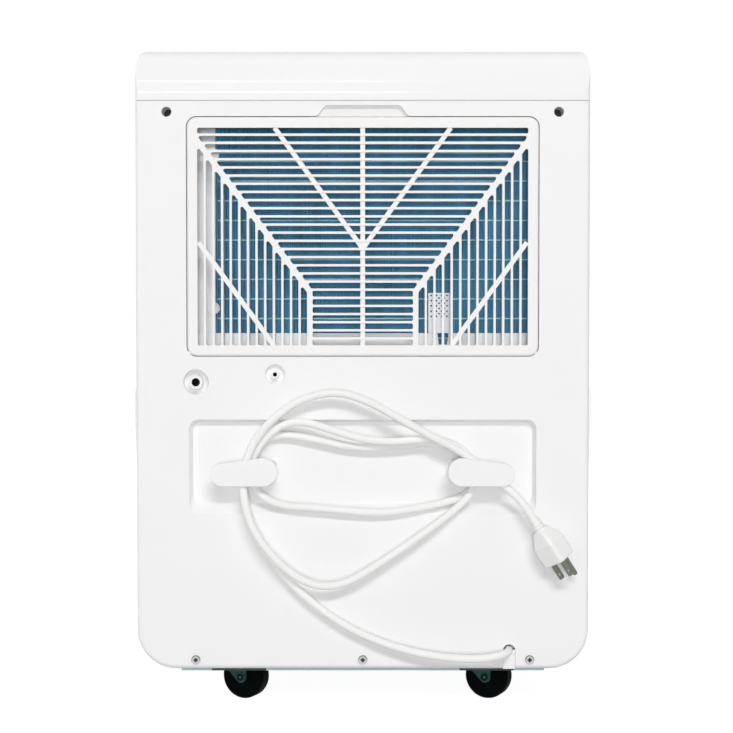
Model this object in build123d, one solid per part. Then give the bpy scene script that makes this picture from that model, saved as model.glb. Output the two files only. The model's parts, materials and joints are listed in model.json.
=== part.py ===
from build123d import *
import math
import os

# Portable dehumidifier on casters, in millimetres.
# +Z is up and the origin is on the floor under the middle of the housing.
# Heights below count from a level that lies LIFT over the floor, and every piece is raised by it at the end.
# The front with the water bucket faces -Y, and the rear panel faces +Y.

# Housing
WIDTH = 434.0
HEIGHT = 620.0
FRONT_Y = -152.0
REAR_Y = 134.0
SPLIT_Y = 10.0  # front and rear covers meet here
BODY_BOTTOM = 27.0  # lower edge of both covers
TOP_TALL = 48.0  # height of the top cover
SEAM_GAP = 0.45  # open line between the covers
WALL = 2.5
BOTTOM_CORNER_R = 38.0
EDGE_R = 5.0
TOP_SIDE_ROUND = 10.5  # how far in the top cover's side corners reach
TOP_SIDE_TALL = 22.0  # how far down they reach
TOP_CORNER = ((0, 1), (0.09, 0.64), (0.293, 0.293), (0.61, 0.08), (1, 0))  # shares of both
TOP_ROUND = 12.0  # radius of its upper edge front and rear
BAND_LOW = 7.5  # the first crease of its faces, over the seam
BAND_HIGH = 18.0  # the second crease
BAND_LEAN = 5.0  # each band leans back by this much more, degrees
CREASE_R = 18.0
FIT = 0.3  # clearance of parts that move or slip together
SNUG = 0.15  # clearance of parts that are pushed together

# Base pan and casters
SKIRT_DROP = 2.5  # the base shows this much under the covers
SKIRT_INSET = 6.0
PAN_T = 3.0
PLINTH_TOP = 78.0  # the bucket slides on this
BOSS_HALF = 7.0
BOSS_DEEP = 12.0
LIFT = 9.0
WHEEL_R = 22.0
WHEEL_W = 18.0
WHEEL_ROUND = 4.0
CASTER_TRAIL = 5.0
CASTER_YAW = -24.0  # how the casters happen to be turned, degrees
PIVOT_X = 119.5
PIVOT_IN_REAR = 42.0  # from the rear face
PIVOT_IN_FRONT = 47.0  # from the front face
FORK_T = 2.0
FORK_GAP = 0.8
AXLE_R = 2.5
AXLE_HEAD_R = 4.0
AXLE_HEAD_T = 1.2
FORK_TIP_R = 5.5
FORK_REACH = 14.0  # from the pivot to the fork's leaning side
STEM_R = 4.0
STEM_LENGTH = 18.0
CUP_R = 27.0
CUP_WALL = 1.5
CUP_PLATE_X = 52.0
CUP_PLATE_T = 3.0
SOCKET_R = 7.5

# Filter grille on the rear
FILTER_W = 336.0
FILTER_LOW = 328.2
FILTER_DROP = 15.7  # its top edge under the seam
FILTER_CORNER = 9.5
FILTER_DEEP = 8.0
FILTER_GAP = 0.6
FIELD_W = 315.6
FIELD_RIM_LOW = 10.3
FIELD_RIM_HIGH = 10.4
BAR_T = 3.5
BAR = 2.2
DEEP_STEP = 3  # every third bar reaches further in and carries the net
DEEP_BAR = 2.0
DEEP_BACK = 16.0  # its depth from the rear face
ROWS = 27
COLUMNS = 13
INNER_BAR_OUT = 53.2  # outer edge of the inner upright bar, from the middle
INNER_BAR_IN = 48.0
DIAGONAL_X = 140.9  # a point on the diagonal bar's middle line
DIAGONAL_SHARE = 0.8312  # its height there, as a share of the field
DIAGONAL_LEAN = 0.0064465  # its slope for each millimetre of the field's height
DIAGONAL_BAR = 5.5
SLOT_ROUND = 1.6
RIB = 4.5
RIB_SET_BACK = 1.2
RIB_T = 4.0
V_RIB_TOP_X = 84.0
V_RIB_FOOT = 0.446  # share of the field
LOW_RIB_TOP_X = 156.8
LOW_RIB_TOP = 0.4745  # share of the field
LOW_RIB_FOOT_X = 85.0
HINGE_INSET = 3.0
TRUNNION_R = 1.5
TRUNNION_OUT = 2.2
LEDGE = 6.0
LEDGE_T = 2.5
NOTCH_LOW_W = 88.0
NOTCH_TOP_W = 72.0
NOTCH_TALL = 11.0
NOTCH_DEEP = 5.0
NOTCH_ROUND = 6.0
NOTCH_FLARE = 6.0

# Outlets
DRAIN_X = 159.7
DRAIN_Z = 303.2
DRAIN_DISH_R = 11.7
DRAIN_DISH_DEEP = 8.0
DRAIN_R = 6.9
DRAIN_BORE_R = 3.8
PUMP_X = 83.9
PUMP_Z = 310.7
PUMP_DISH_R = 9.1
PUMP_DISH_DEEP = 6.0
PUMP_R = 4.0
PUMP_BORE_R = 1.8
SPIGOT_OUT = 1.0  # how far the spigots stand out of the rear face
SPIGOT_STEP = 0.6  # their inner end is thinner by this much and passes through the dish
DISH_ROUND = 1.5

# Cord recess, hooks and exit
RECESS_W = 332.6
RECESS_LOW = 177.0
RECESS_HIGH = 267.5
RECESS_DEEP = 10.0
RECESS_CORNER = 9.0
RECESS_DRAFT = 3.0
RECESS_RAMP = 9.0  # the bottom side leans in by this much
HOOK_LIP_T = 4.0
HOOK_GAP = 26.0
HOOK_IN_X = 81.0
HOOK_OUT_X = 144.0
HOOK_Z = 218.5
HOOK_TALL_IN = 27.0
HOOK_TALL_OUT = 22.0
HOOK_STEM_X = 83.0
HOOK_STEM_W = 14.0
HOOK_STEM_TALL = 19.0
CORD_R = 3.8
EXIT_X = -140.8
EXIT_Z = 45.5
EXIT_W = 12.0
EXIT_TOP = 51.0
CLAMP_BACK_Y = 124.0
CLAMP_T = 2.0
CLAMP_HALF = 9.0

# Screws
TOP_SCREW_X = 187.0
TOP_SCREW_DROP = 11.0  # under the seam
WELL_R = 4.8
WELL_WALL = 1.6
WELL_DEEP = 20.0
LOW_SCREW_X = 160.5
LOW_SCREW_Z = 36.2
SCREW_R = 2.0
SCREW_HEAD_R = 4.3
SCREW_HEAD_T = 2.0
SCREW_LENGTH = 10.0
CROSS_W = 1.0
CROSS_L = 4.6
CROSS_DEEP = 1.1

# Side grips
GRIP_LOW = 205.0
GRIP_HIGH = 297.0
GRIP_FRONT = 38.0
GRIP_BACK = 120.0
GRIP_RIM = 6.0
GRIP_DEEP = 20.0
GRIP_LIP = 3.5
GRIP_LIP_FOOT = 0.6
GRIP_WALL = 2.0

# Bucket
BUCKET_W = 366.0
BUCKET_BACK = -31.0
BUCKET_TOP = 280.0
BUCKET_WALL_T = 2.2
BUCKET_FRONT_T = 3.0
BUCKET_GAP = 1.5
BUCKET_ROUND = 6.0
LID_T = 2.5
LID_HOLE_W = 150.0
LID_HOLE_D = 50.0
SCOOP_W = 120.0
SCOOP_TALL = 30.0
SCOOP_DEEP = 22.0
SCOOP_DROP = 20.0
WINDOW_X = 130.0
WINDOW_W = 14.0
WINDOW_LOW = 120.0
WINDOW_HIGH = 230.0
FLOAT_W = 60.0
FLOAT_D = 34.0
FLOAT_T = 18.0
FLOAT_DROP = 34.0
FLOAT_REACH = 52.0
FLOAT_PIN_R = 2.5
FLOAT_PIVOT_IN = 12.0
FLOAT_PIVOT_DROP = 14.0
FLOAT_LUG_X = 10.0
FLOAT_LUG_T = 4.0

# Inner walls
PARTITION_T = 2.5
PARTITION_GAP = 3.0
DECK_Z = 287.0
DECK_T = 3.0
DECK_FRONT_W = 376.0
DECK_REAR_W = 340.0
DECK_NARROW_Y = 30.0
TRAY_TOP = 350.0
TRAY_FRONT = 55.0
TRAY_BACK = 112.0
TRAY_W = 340.0
TRAY_T = 2.5
TRAY_RIB_X = 60.0

# Coils
COIL_LEFT = 143.0  # seen from behind, the fins start here
COIL_RIGHT = -165.0
COIL_LOW = 335.5
TUBE_R = 3.5
COIL_OVER = 7.8  # the coil ends this much over the filter
TUBE_ROWS = 12
EVAPORATOR_Y = 94.0
EVAPORATOR_D = 24.0
CONDENSER_Y = 69.0
CONDENSER_D = 22.0
FIN_PITCH = 4.4
FIN_GROOVE = 3.0
FIN_GROOVE_DEEP = 5.0
BEND_OUT = 5.0
TUBE_END = 9.0
BRACKET_T = 2.0
BRACKET_FLANGE = 24.0
EAR_R = 6.0
EAR_IN_LOW = 38.5
EAR_IN_HIGH = 41.1
SENSOR_X = -73.8
SENSOR_W = 20.9
SENSOR_TALL = 39.0
SENSOR_D = 7.0
SENSOR_HOLE_R = 0.9
SENSOR_HOLES = 4
SENSOR_HOLE_ROWS = 5
SENSOR_PITCH = 5.07
TRAY_NOTCH_X = -77.6  # slot in the tray's rear wall under the sensor
TRAY_NOTCH_TOP_W = 11.6
TRAY_NOTCH_LOW_W = 8.0
TRAY_NOTCH_TALL = 11.0

# Fan
FAN_X = 0.0
FAN_DROP = 10.25  # its middle under the middle of the filter
FAN_R = 86.0
FAN_BLADES = 24
BLADE_T = 1.6
BLADE_DEEP = 16.0
FAN_HUB_R = 14.0
SHAFT_R = 4.0
SCROLL_R = 100.0
SCROLL_DEEP = 50.0
SCROLL_T = 2.5
INLET_R = 78.0
DUCT_DROP = 9.0  # the duct ends this much under the top
MOTOR_R = 42.0
MOTOR_LENGTH = 45.0

# Compressor bay
COMPRESSOR_X = 10.0
COMPRESSOR_Y = 55.0
COMPRESSOR_R = 50.0
COMPRESSOR_TALL = 195.0
COMPRESSOR_DOME = 18.0
FOOT_REACH = 66.0
FOOT_R = 12.0
FOOT_T = 3.0
MOUNT_R = 9.0
MOUNT_TALL = 14.0
BOLT_R = 3.0
NUT_R = 6.0
NUT_T = 5.0
RECEIVER_R = 17.0  # the can beside the compressor
RECEIVER_TALL = 130.0
RECEIVER_Z = 90.0
RECEIVER_OUT = 74.0
PIPE_R = 4.0
CAPILLARY_R = 1.6
SUCTION_X = 177.0
DISCHARGE_X = 187.0
CAPILLARY_X = 166.0
PIPE_BEND = 12.0
ELECTRIC_W = 90.0
ELECTRIC_D = 45.0
ELECTRIC_TALL = 120.0
ELECTRIC_X = -150.0
ELECTRIC_Z = 110.0
CAPACITOR_R = 20.0
CAPACITOR_TALL = 70.0
CAPACITOR_X = -80.0
SWITCH_W = 24.0
SWITCH_D = 10.0
SWITCH_TALL = 18.0
PUMP_BODY_W = 34.0
PUMP_BODY_D = 26.0

# Control panel and air outlet on top
PANEL_W = 240.0
PANEL_D = 50.0
PANEL_Y = -88.0
PANEL_T = 2.3
PANEL_FLANGE = 3.0
PANEL_FLANGE_T = 2.0
BUTTON_W = 20.0
BUTTON_D = 12.0
BUTTON_PITCH = 30.0
BUTTON_ROUND = 4.0
BUTTON_PROUD = 0.6
BUTTON_TRAVEL = 1.5
BUTTON_FLANGE = 1.5
BUTTON_FLANGE_T = 1.2
BUTTON_STEM_R = 2.0
DISPLAY_W = 44.0
DISPLAY_D = 22.0
DISPLAY_X = 85.0
BOARD_T = 1.6
BOARD_DROP = 12.0
POST_R = 3.0
OUTLET_W = 196.0
OUTLET_D = 46.0
OUTLET_SLATS = 6
SLAT_T = 2.0
OUTLET_DEEP = 6.0

# Plug
PLUG_AT = (-162.3, 152.5, 173.7)
PLUG_AXIS = (-7.1, 0.0, -11.1)
PLUG_ROLL = 46.0
RELIEF_LENGTH = 14.0
RELIEF_R0 = 4.7
RELIEF_R1 = 6.3
RELIEF_GROOVES = 3
PLUG_LENGTH = 32.0
PLUG_W = 26.0
PLUG_D = 23.0
PLUG_NECK_W = 14.0
PLUG_NECK_D = 13.0
PLUG_SHOULDER = 12.0
PLUG_ROUND = 4.0
BLADE_PITCH = 12.7
BLADE_W = 6.35
PIN_BLADE_T = 1.5
BLADE_LENGTH = 16.5
BLADE_HOLE_R = 1.6
GROUND_OFF = 11.9
GROUND_R = 2.4
GROUND_LENGTH = 21.0
BLADES_OFF = 4.0  # the blades sit this far off the plug's middle

# The cord's route from its clamp to the plug, by hand
ROUTE = [
    (EXIT_X, CLAMP_BACK_Y, EXIT_Z),
    (EXIT_X, 137.0, EXIT_Z),
    (-136.5, 147.5, 44.6),
    (-125.0, 153.0, 42.3),
    (-104.0, 153.0, 40.0),
    (-66.0, 149.5, 42.5),
    (-28.0, 146.5, 51.0),
    (8.0, 144.5, 65.5),
    (39.0, 143.5, 85.0),
    (65.0, 143.0, 107.0),
    (86.0, 143.0, 131.0),
    (101.0, 142.5, 157.0),
    (110.5, 140.0, 181.0),
    (115.0, 131.5, 205.0),
    (112.5, 128.5, 229.0),
    (98.5, 128.5, 247.5),
    (74.5, 130.5, 253.8),
    (41.0, 132.0, 247.2),
    (9.0, 132.5, 240.2),
    (-28.0, 133.0, 240.5),
    (-62.0, 133.0, 245.5),
    (-84.0, 129.5, 243.5),
    (-103.0, 128.5, 232.5),
    (-109.5, 128.5, 212.5),
    (-101.5, 129.5, 195.0),
    (-82.5, 134.0, 188.5),
    (-56.0, 139.5, 183.5),
    (-23.0, 141.5, 178.5),
    (12.0, 142.0, 180.2),
    (45.0, 142.0, 183.8),
    (73.0, 141.0, 184.5),
    (94.5, 138.5, 191.5),
    (107.5, 137.0, 208.0),
    (106.5, 137.0, 229.5),
    (95.5, 137.5, 248.0),
    (79.0, 139.0, 262.5),
    (57.0, 141.0, 266.5),
    (31.0, 142.0, 258.5),
    (3.0, 142.0, 249.5),
    (-27.0, 142.0, 246.0),
    (-57.0, 141.0, 249.5),
    (-80.0, 138.0, 247.0),
    (-99.5, 137.0, 236.5),
    (-108.5, 137.0, 217.0),
    (-104.0, 138.5, 196.5),
    (-87.5, 143.0, 181.5),
    (-66.0, 148.0, 165.5),
    (-40.0, 151.0, 147.5),
    (-12.0, 152.5, 129.0),
    (14.0, 153.0, 113.0),
    (39.0, 153.5, 109.0),
    (62.0, 154.0, 117.5),
    (83.0, 154.5, 135.5),
    (100.5, 154.0, 157.5),
    (111.0, 150.5, 181.5),
    (114.5, 145.4, 206.0),
    (110.5, 145.2, 231.0),
    (101.5, 147.0, 250.0),
    (85.5, 149.5, 269.0),
    (61.0, 150.5, 287.0),
    (27.0, 151.0, 296.0),
    (-5.0, 151.0, 286.5),
    (-36.0, 150.5, 268.5),
    (-66.0, 148.5, 252.0),
    (-92.0, 145.6, 238.5),
    (-115.0, 145.2, 222.5),
    (-132.0, 145.4, 207.0),
    (-146.0, 148.5, 195.5),
    (-155.2, 152.5, 184.8),
    PLUG_AT,
]

# Places that follow from the sizes above
HALF_W = WIDTH / 2
SEAM_Z = HEIGHT - TOP_TALL  # the top cover starts here
COVER_TOP = SEAM_Z - SEAM_GAP  # the front and rear covers end here
FILTER_HIGH = SEAM_Z - FILTER_DROP
FIELD_LOW = FILTER_LOW + FIELD_RIM_LOW
FIELD_HIGH = FILTER_HIGH - FIELD_RIM_HIGH
FIELD_TALL = FIELD_HIGH - FIELD_LOW
DIAGONAL_Z = FIELD_LOW + DIAGONAL_SHARE * FIELD_TALL
DIAGONAL_SLOPE = DIAGONAL_LEAN * FIELD_TALL
V_RIB_FOOT_Z = FIELD_LOW + V_RIB_FOOT * FIELD_TALL
LOW_RIB_TOP_Z = FIELD_LOW + LOW_RIB_TOP * FIELD_TALL
TOP_SCREW_Z = SEAM_Z - TOP_SCREW_DROP
IN_W = HALF_W - WALL
IN_REAR = REAR_Y - WALL
IN_FRONT = FRONT_Y + WALL
DEPTH = REAR_Y - FRONT_Y
MID_Y = (REAR_Y + FRONT_Y) / 2
FLOOR_Z = BODY_BOTTOM + WALL  # underside of the base pan's floor plate
FLOOR_TOP = FLOOR_Z + PAN_T
SKIRT_Z = BODY_BOTTOM - SKIRT_DROP
FLOOR_X = HALF_W - BOTTOM_CORNER_R - 1.0
SKIRT_X = FLOOR_X - SKIRT_INSET / 2
SKIRT_BACK = REAR_Y - SKIRT_INSET
SKIRT_FRONT = FRONT_Y + SKIRT_INSET
PIVOT_REAR_Y = REAR_Y - PIVOT_IN_REAR
PIVOT_FRONT_Y = FRONT_Y + PIVOT_IN_FRONT
FORK_HALF = WHEEL_W / 2 + FORK_GAP + FORK_T
WHEEL_Z = WHEEL_R - LIFT
BRIDGE_Z = WHEEL_Z + WHEEL_R + 1.2
FORK_TOP = BRIDGE_Z + FORK_T
CUP_CEILING = FORK_TOP + FIT
CUP_TOP = CUP_CEILING + CUP_WALL
SOCKET_TOP = FORK_TOP + STEM_LENGTH + FIT + CUP_WALL
FILTER_MID_Z = (FILTER_LOW + FILTER_HIGH) / 2
FILTER_TALL = FILTER_HIGH - FILTER_LOW
FILTER_BACK = REAR_Y - FILTER_DEEP
LEDGE_FACE = FILTER_BACK - FIT
HINGE_Y = REAR_Y - HINGE_INSET
HINGE_Z = FILTER_LOW + HINGE_INSET
RECESS_FLOOR = REAR_Y - RECESS_DEEP
LIP_IN = RECESS_FLOOR + HOOK_GAP
BUCKET_LOW = PLINTH_TOP + FIT
PARTITION_FRONT = BUCKET_BACK + PARTITION_GAP
PARTITION_BACK = PARTITION_FRONT + PARTITION_T
DECK_TOP = DECK_Z + DECK_T
TRAY_LOW = DECK_TOP
COIL_TOP = FILTER_HIGH + COIL_OVER
TUBE_PITCH = (COIL_TOP - COIL_LOW) / TUBE_ROWS
EAR_Z = (COIL_LOW + EAR_IN_LOW, COIL_TOP - EAR_IN_HIGH)
FAN_Z = FILTER_MID_Z - FAN_DROP
DUCT_TOP = HEIGHT - DUCT_DROP
COVER_FLAT = HEIGHT - WALL  # inner face of the top cover's roof
PANEL_TOP = HEIGHT - WALL + PANEL_T
PLUG_FACE = RELIEF_LENGTH + PLUG_LENGTH


def block(x0, x1, y0, y1, z0, z1):
    """Box between two corners."""
    return Pos((x0 + x1) / 2, (y0 + y1) / 2, (z0 + z1) / 2) * Box(x1 - x0, y1 - y0, z1 - z0)


def rod_x(y, z, radius, x0, x1):
    """Round bar along X."""
    return Pos((x0 + x1) / 2, y, z) * Rot(0, 90, 0) * Cylinder(radius, x1 - x0)


def rod_y(x, z, radius, y0, y1):
    """Round bar along Y."""
    return Pos(x, (y0 + y1) / 2, z) * Rot(90, 0, 0) * Cylinder(radius, y1 - y0)


def rod_z(x, y, radius, z0, z1):
    """Round bar along Z."""
    return Pos(x, y, (z0 + z1) / 2) * Cylinder(radius, z1 - z0)


def upright(outline, y0, y1):
    """Prism of an (x, z) outline between two depths."""
    plane = Plane(origin=(0, y1, 0), x_dir=(1, 0, 0), z_dir=(0, -1, 0))
    return extrude(plane * outline, amount=y1 - y0)


def sideways(outline, x0, x1):
    """Prism of a (y, z) outline between two sides."""
    plane = Plane(origin=(x0, 0, 0), x_dir=(0, 1, 0), z_dir=(1, 0, 0))
    return extrude(plane * outline, amount=x1 - x0)


def flat(outline, z0, z1):
    """Prism of an (x, y) outline between two heights."""
    return extrude(Pos(0, 0, z0) * outline, amount=z1 - z0)


def rectangle(x0, x1, z0, z1, radius=0.0):
    """Outline between two corners, with round corners if asked."""
    place = Pos((x0 + x1) / 2, (z0 + z1) / 2)
    if radius > 0:
        return place * RectangleRounded(x1 - x0, z1 - z0, radius)
    return place * Rectangle(x1 - x0, z1 - z0)


def outline_of(points, radius=0.0):
    """Outline through points, with round corners if asked."""
    face = make_face(Polyline(*points, close=True))
    if radius > 0:
        return fillet(face.vertices(), radius)
    return face


def pipe(points, radius, bend):
    """Bent round bar through points."""
    path = FilletPolyline(*points, radius=bend)
    return sweep(Plane(path @ 0, z_dir=path % 0) * Circle(radius), path=path)


def mirrored(part):
    """The part on the other side of the middle."""
    return mirror(part, about=Plane.YZ)


def body_outline(inset, top):
    """Outline of the housing from behind: large round corners at the bottom."""
    face = rectangle(-HALF_W + inset, HALF_W - inset, BODY_BOTTOM + inset, top)
    corners = face.vertices().sort_by(Axis.Y)[:2]
    return fillet(corners, BOTTOM_CORNER_R - inset)


def half_shell(y0, y1, end_y, inner_end):
    """One half of the housing, hollow, rounded at its end face and open at the seams."""
    shell = upright(body_outline(0, COVER_TOP), y0, y1)
    end_face = shell.faces().sort_by_distance((0, end_y, SEAM_Z / 2))[0]
    rim = [edge for edge in end_face.edges() if edge.center().Z < SEAM_Z - WALL]
    shell = fillet(rim, EDGE_R)
    hollow_back = inner_end if end_y > 0 else y1 + WALL
    hollow_front = inner_end if end_y < 0 else y0 - WALL
    shell -= upright(body_outline(WALL, SEAM_Z + WALL), hollow_front, hollow_back)
    opening = block(
        -SKIRT_X - FIT, SKIRT_X + FIT, SKIRT_FRONT - FIT, SKIRT_BACK + FIT, SKIRT_Z, FLOOR_Z
    )
    return shell - opening


def notch_outline(grow, low):
    """Finger notch over the filter, wider at its foot."""
    foot = NOTCH_LOW_W / 2 + grow
    head = NOTCH_TOP_W / 2 + grow
    top = FILTER_HIGH + NOTCH_TALL + grow
    face = outline_of([(-foot, low), (foot, low), (head, top), (-head, top)])
    return fillet(face.vertices().sort_by(Axis.Y)[-2:], NOTCH_ROUND)


def notch_mouth():
    """The notch, joined to the filter pocket's upper edge by two soft corners."""
    edge = FILTER_HIGH + FILTER_GAP
    low = FILTER_HIGH - FILTER_GAP
    half = NOTCH_LOW_W / 2 + 2 * NOTCH_FLARE
    face = notch_outline(0, low) + rectangle(-half, half, low, edge)
    corners = [v for v in face.vertices() if abs(v.Y - edge) < SNUG and abs(v.X) < half - NOTCH_FLARE]
    return fillet(corners, NOTCH_FLARE)


def recess_block(grow, y_out, y_in):
    """Cord recess with leaning sides, as a block to add or to cut."""
    half = RECESS_W / 2 + grow
    low, high = RECESS_LOW - grow, RECESS_HIGH + grow
    mouth = rectangle(-half, half, low, high, RECESS_CORNER + grow)
    half -= RECESS_DRAFT
    floor = rectangle(-half, half, low + RECESS_RAMP, high - RECESS_DRAFT, RECESS_CORNER + grow)
    planes = [Plane(origin=(0, y, 0), x_dir=(1, 0, 0), z_dir=(0, -1, 0)) for y in (y_out, y_in)]
    return loft([planes[0] * mouth, planes[1] * floor])


def grip_window():
    """Hole in the rear cover's side for the grip's cup, on the +X side."""
    outline = rectangle(
        GRIP_FRONT + GRIP_RIM, GRIP_BACK - GRIP_RIM, GRIP_LOW + GRIP_RIM, GRIP_HIGH - GRIP_RIM, GRIP_RIM
    )
    return outline


def exit_outline():
    """Arched cord slot, open at the lower edge of the rear cover."""
    radius = EXIT_W / 2
    arch_z = EXIT_TOP - radius
    slot = rectangle(EXIT_X - radius, EXIT_X + radius, BODY_BOTTOM - WALL, arch_z)
    return slot + Pos(EXIT_X, arch_z) * Circle(radius)


def dish(cover, x, z, radius, deep, bore):
    """Round dish in the rear cover with a hole for its spigot."""
    floor_y = REAR_Y - deep
    cover += rod_y(x, z, radius + WALL, floor_y - WALL, REAR_Y - WALL / 2)
    cover -= rod_y(x, z, radius, floor_y, REAR_Y + WALL)
    cover -= rod_y(x, z, bore, floor_y - 2 * WALL, REAR_Y)
    rim = cover.edges().filter_by(GeomType.CIRCLE)
    rim = [e for e in rim if abs(e.center().Y - REAR_Y) < SNUG and abs(e.radius - radius) < SNUG]
    return fillet([e for e in rim if abs(e.arc_center.X - x) < SNUG], DISH_ROUND)


def rear_cover():
    cover = half_shell(SPLIT_Y, REAR_Y, REAR_Y, IN_REAR)
    cover += recess_block(WALL, IN_REAR + WALL / 2, RECESS_FLOOR - WALL)
    cover -= recess_block(0, REAR_Y, RECESS_FLOOR)

    pocket_half = FILTER_W / 2 + FILTER_GAP
    pocket_low, pocket_high = FILTER_LOW - FILTER_GAP, FILTER_HIGH + FILTER_GAP
    round_in = FILTER_CORNER + FILTER_GAP
    pocket = rectangle(-pocket_half, pocket_half, pocket_low, pocket_high, round_in)
    surround = rectangle(
        -pocket_half - WALL, pocket_half + WALL, pocket_low - WALL, pocket_high + WALL, round_in + WALL
    )
    throat_half = FILTER_W / 2 - LEDGE
    throat = rectangle(-throat_half, throat_half, FILTER_LOW + LEDGE, FILTER_HIGH - LEDGE, LEDGE)
    cover += upright(surround, LEDGE_FACE - LEDGE_T, IN_REAR + WALL / 2)
    notch_floor = REAR_Y - NOTCH_DEEP
    cover += upright(notch_outline(WALL, FILTER_HIGH), notch_floor - WALL, IN_REAR + WALL / 2)
    cover -= upright(pocket, LEDGE_FACE, REAR_Y + WALL)
    cover -= upright(throat, LEDGE_FACE - 2 * LEDGE_T, LEDGE_FACE + LEDGE_T)
    cover -= upright(notch_mouth(), notch_floor, REAR_Y + WALL)
    trunnion_half = FILTER_W / 2 + TRUNNION_OUT + FIT
    cover -= rod_x(HINGE_Y, HINGE_Z, TRUNNION_R + FIT, -trunnion_half, trunnion_half)

    cover = dish(cover, DRAIN_X, DRAIN_Z, DRAIN_DISH_R, DRAIN_DISH_DEEP, DRAIN_R - SPIGOT_STEP + FIT)
    cover = dish(cover, PUMP_X, PUMP_Z, PUMP_DISH_R, PUMP_DISH_DEEP, PUMP_R - SPIGOT_STEP + FIT)

    well_end = REAR_Y - WELL_DEEP
    for side in (-1, 1):
        x = side * TOP_SCREW_X
        cover += rod_y(x, TOP_SCREW_Z, WELL_R + WELL_WALL, well_end - WALL, IN_REAR + WALL / 2)
        cover -= rod_y(x, TOP_SCREW_Z, WELL_R, well_end, REAR_Y + WALL)
        cover -= rod_y(x, TOP_SCREW_Z, SCREW_R + FIT, well_end - 2 * WALL, REAR_Y)
    for x in (-LOW_SCREW_X, 0, LOW_SCREW_X):
        cover -= rod_y(x, LOW_SCREW_Z, SCREW_R + FIT, IN_REAR - WALL, REAR_Y + WALL)

    cover -= upright(exit_outline(), IN_REAR - WALL / 2, REAR_Y + WALL)
    window = sideways(grip_window(), IN_W - WALL, HALF_W + WALL)
    return cover - window - mirrored(window)


def front_cover():
    cover = half_shell(FRONT_Y, SPLIT_Y - SEAM_GAP, FRONT_Y, IN_FRONT)
    half = BUCKET_W / 2 + BUCKET_GAP
    mouth = rectangle(-half, half, BUCKET_LOW - BUCKET_GAP, BUCKET_TOP + LID_T + BUCKET_GAP, 2 * BUCKET_GAP)
    return cover - upright(mouth, FRONT_Y - WALL, IN_FRONT + WALL)


def cover_side(inset):
    """Side outline of the top cover: bands that lean back more and more, and a round upper edge."""
    low, top = SEAM_Z - inset, HEIGHT - inset
    back, front = REAR_Y - inset, FRONT_Y + inset
    first, second = SEAM_Z + BAND_LOW, SEAM_Z + BAND_HIGH
    lean = (second - first) * math.tan(math.radians(BAND_LEAN))
    more = lean + (top - second) * math.tan(math.radians(2 * BAND_LEAN))
    points = [(front, low), (back, low), (back, first), (back - lean, second), (back - more, top)]
    points += [(front + more, top), (front + lean, second), (front, first)]
    face = outline_of(points)
    face = fillet(face.vertices().sort_by(Axis.Y)[-2:], TOP_ROUND - inset)
    creases = [v for v in face.vertices() if min(abs(v.Y - first), abs(v.Y - second)) < SNUG]
    return fillet(creases, CREASE_R)


def cover_behind(inset):
    """Outline of the top cover from behind, with tall soft corners of two arcs each."""
    half, top, low = HALF_W - inset, HEIGHT - inset, SEAM_Z - inset
    wide, tall = TOP_SIDE_ROUND - inset, TOP_SIDE_TALL - inset
    corner = [(half - x * wide, top - z * tall) for x, z in TOP_CORNER]
    other = [(-x, z) for x, z in corner[::-1]]
    edges = [Line((-half, low), (half, low)), Line((half, low), corner[0])]
    edges += [ThreePointArc(*corner[:3]), ThreePointArc(*corner[2:]), Line(corner[-1], other[0])]
    edges += [ThreePointArc(*other[:3]), ThreePointArc(*other[2:]), Line(other[-1], (-half, low))]
    return make_face(Wire(edges))


def cover_form(inset):
    """Block of the top cover: leaning front and rear faces, soft side corners."""
    half = HALF_W - inset
    block_of = upright(cover_behind(inset), FRONT_Y + inset, REAR_Y - inset)
    return block_of & sideways(cover_side(inset), -half, half)


def outlet_mid_y():
    """The air outlet sits over the fan's duct."""
    return scroll_back() - SCROLL_DEEP / 2


def scroll_back():
    """Rear face of the fan housing's back plate, in front of the drip tray."""
    return TRAY_FRONT - SCROLL_T


def top_cover():
    plan = Pos(0, MID_Y) * RectangleRounded(WIDTH + 2 * SNUG, DEPTH + 2 * SNUG, EDGE_R)
    cover = cover_form(0) & flat(plan, SEAM_Z, HEIGHT + WALL)
    cover -= cover_form(WALL)
    panel = Pos(0, PANEL_Y) * RectangleRounded(PANEL_W, PANEL_D, PANEL_FLANGE)
    outlet = Pos(FAN_X, outlet_mid_y()) * RectangleRounded(OUTLET_W, OUTLET_D, PANEL_FLANGE)
    for hole in (panel, outlet):
        cover -= flat(hole, COVER_FLAT - WALL, HEIGHT + WALL)
    lug_back = REAR_Y - WELL_DEEP - WALL - FIT
    lug_in = TOP_SCREW_X - BOSS_HALF
    low = TOP_SCREW_Z - BOSS_HALF
    lug = block(lug_in, IN_W - FIT, lug_back - BOSS_DEEP, lug_back, low, SEAM_Z + BOSS_HALF)
    lug += block(lug_in, IN_W + WALL / 2, lug_back - BOSS_DEEP, lug_back, SEAM_Z, SEAM_Z + BOSS_HALF)
    lug -= rod_y(TOP_SCREW_X, TOP_SCREW_Z, SCREW_R + SNUG, lug_back - BOSS_DEEP, lug_back)
    return cover + lug + mirrored(lug)


def diagonal_z(x, shift):
    """Height of the grille's diagonal bar at x, its edges shifted to one side."""
    offset = shift * DIAGONAL_BAR / 2 * math.hypot(1, DIAGONAL_SLOPE)
    return DIAGONAL_Z + DIAGONAL_SLOPE * (x - DIAGONAL_X) + offset


def diagonal_x(z, shift):
    """Place of the diagonal bar's edge at height z."""
    offset = shift * DIAGONAL_BAR / 2 * math.hypot(1, DIAGONAL_SLOPE)
    return DIAGONAL_X + (z - DIAGONAL_Z - offset) / DIAGONAL_SLOPE


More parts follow.
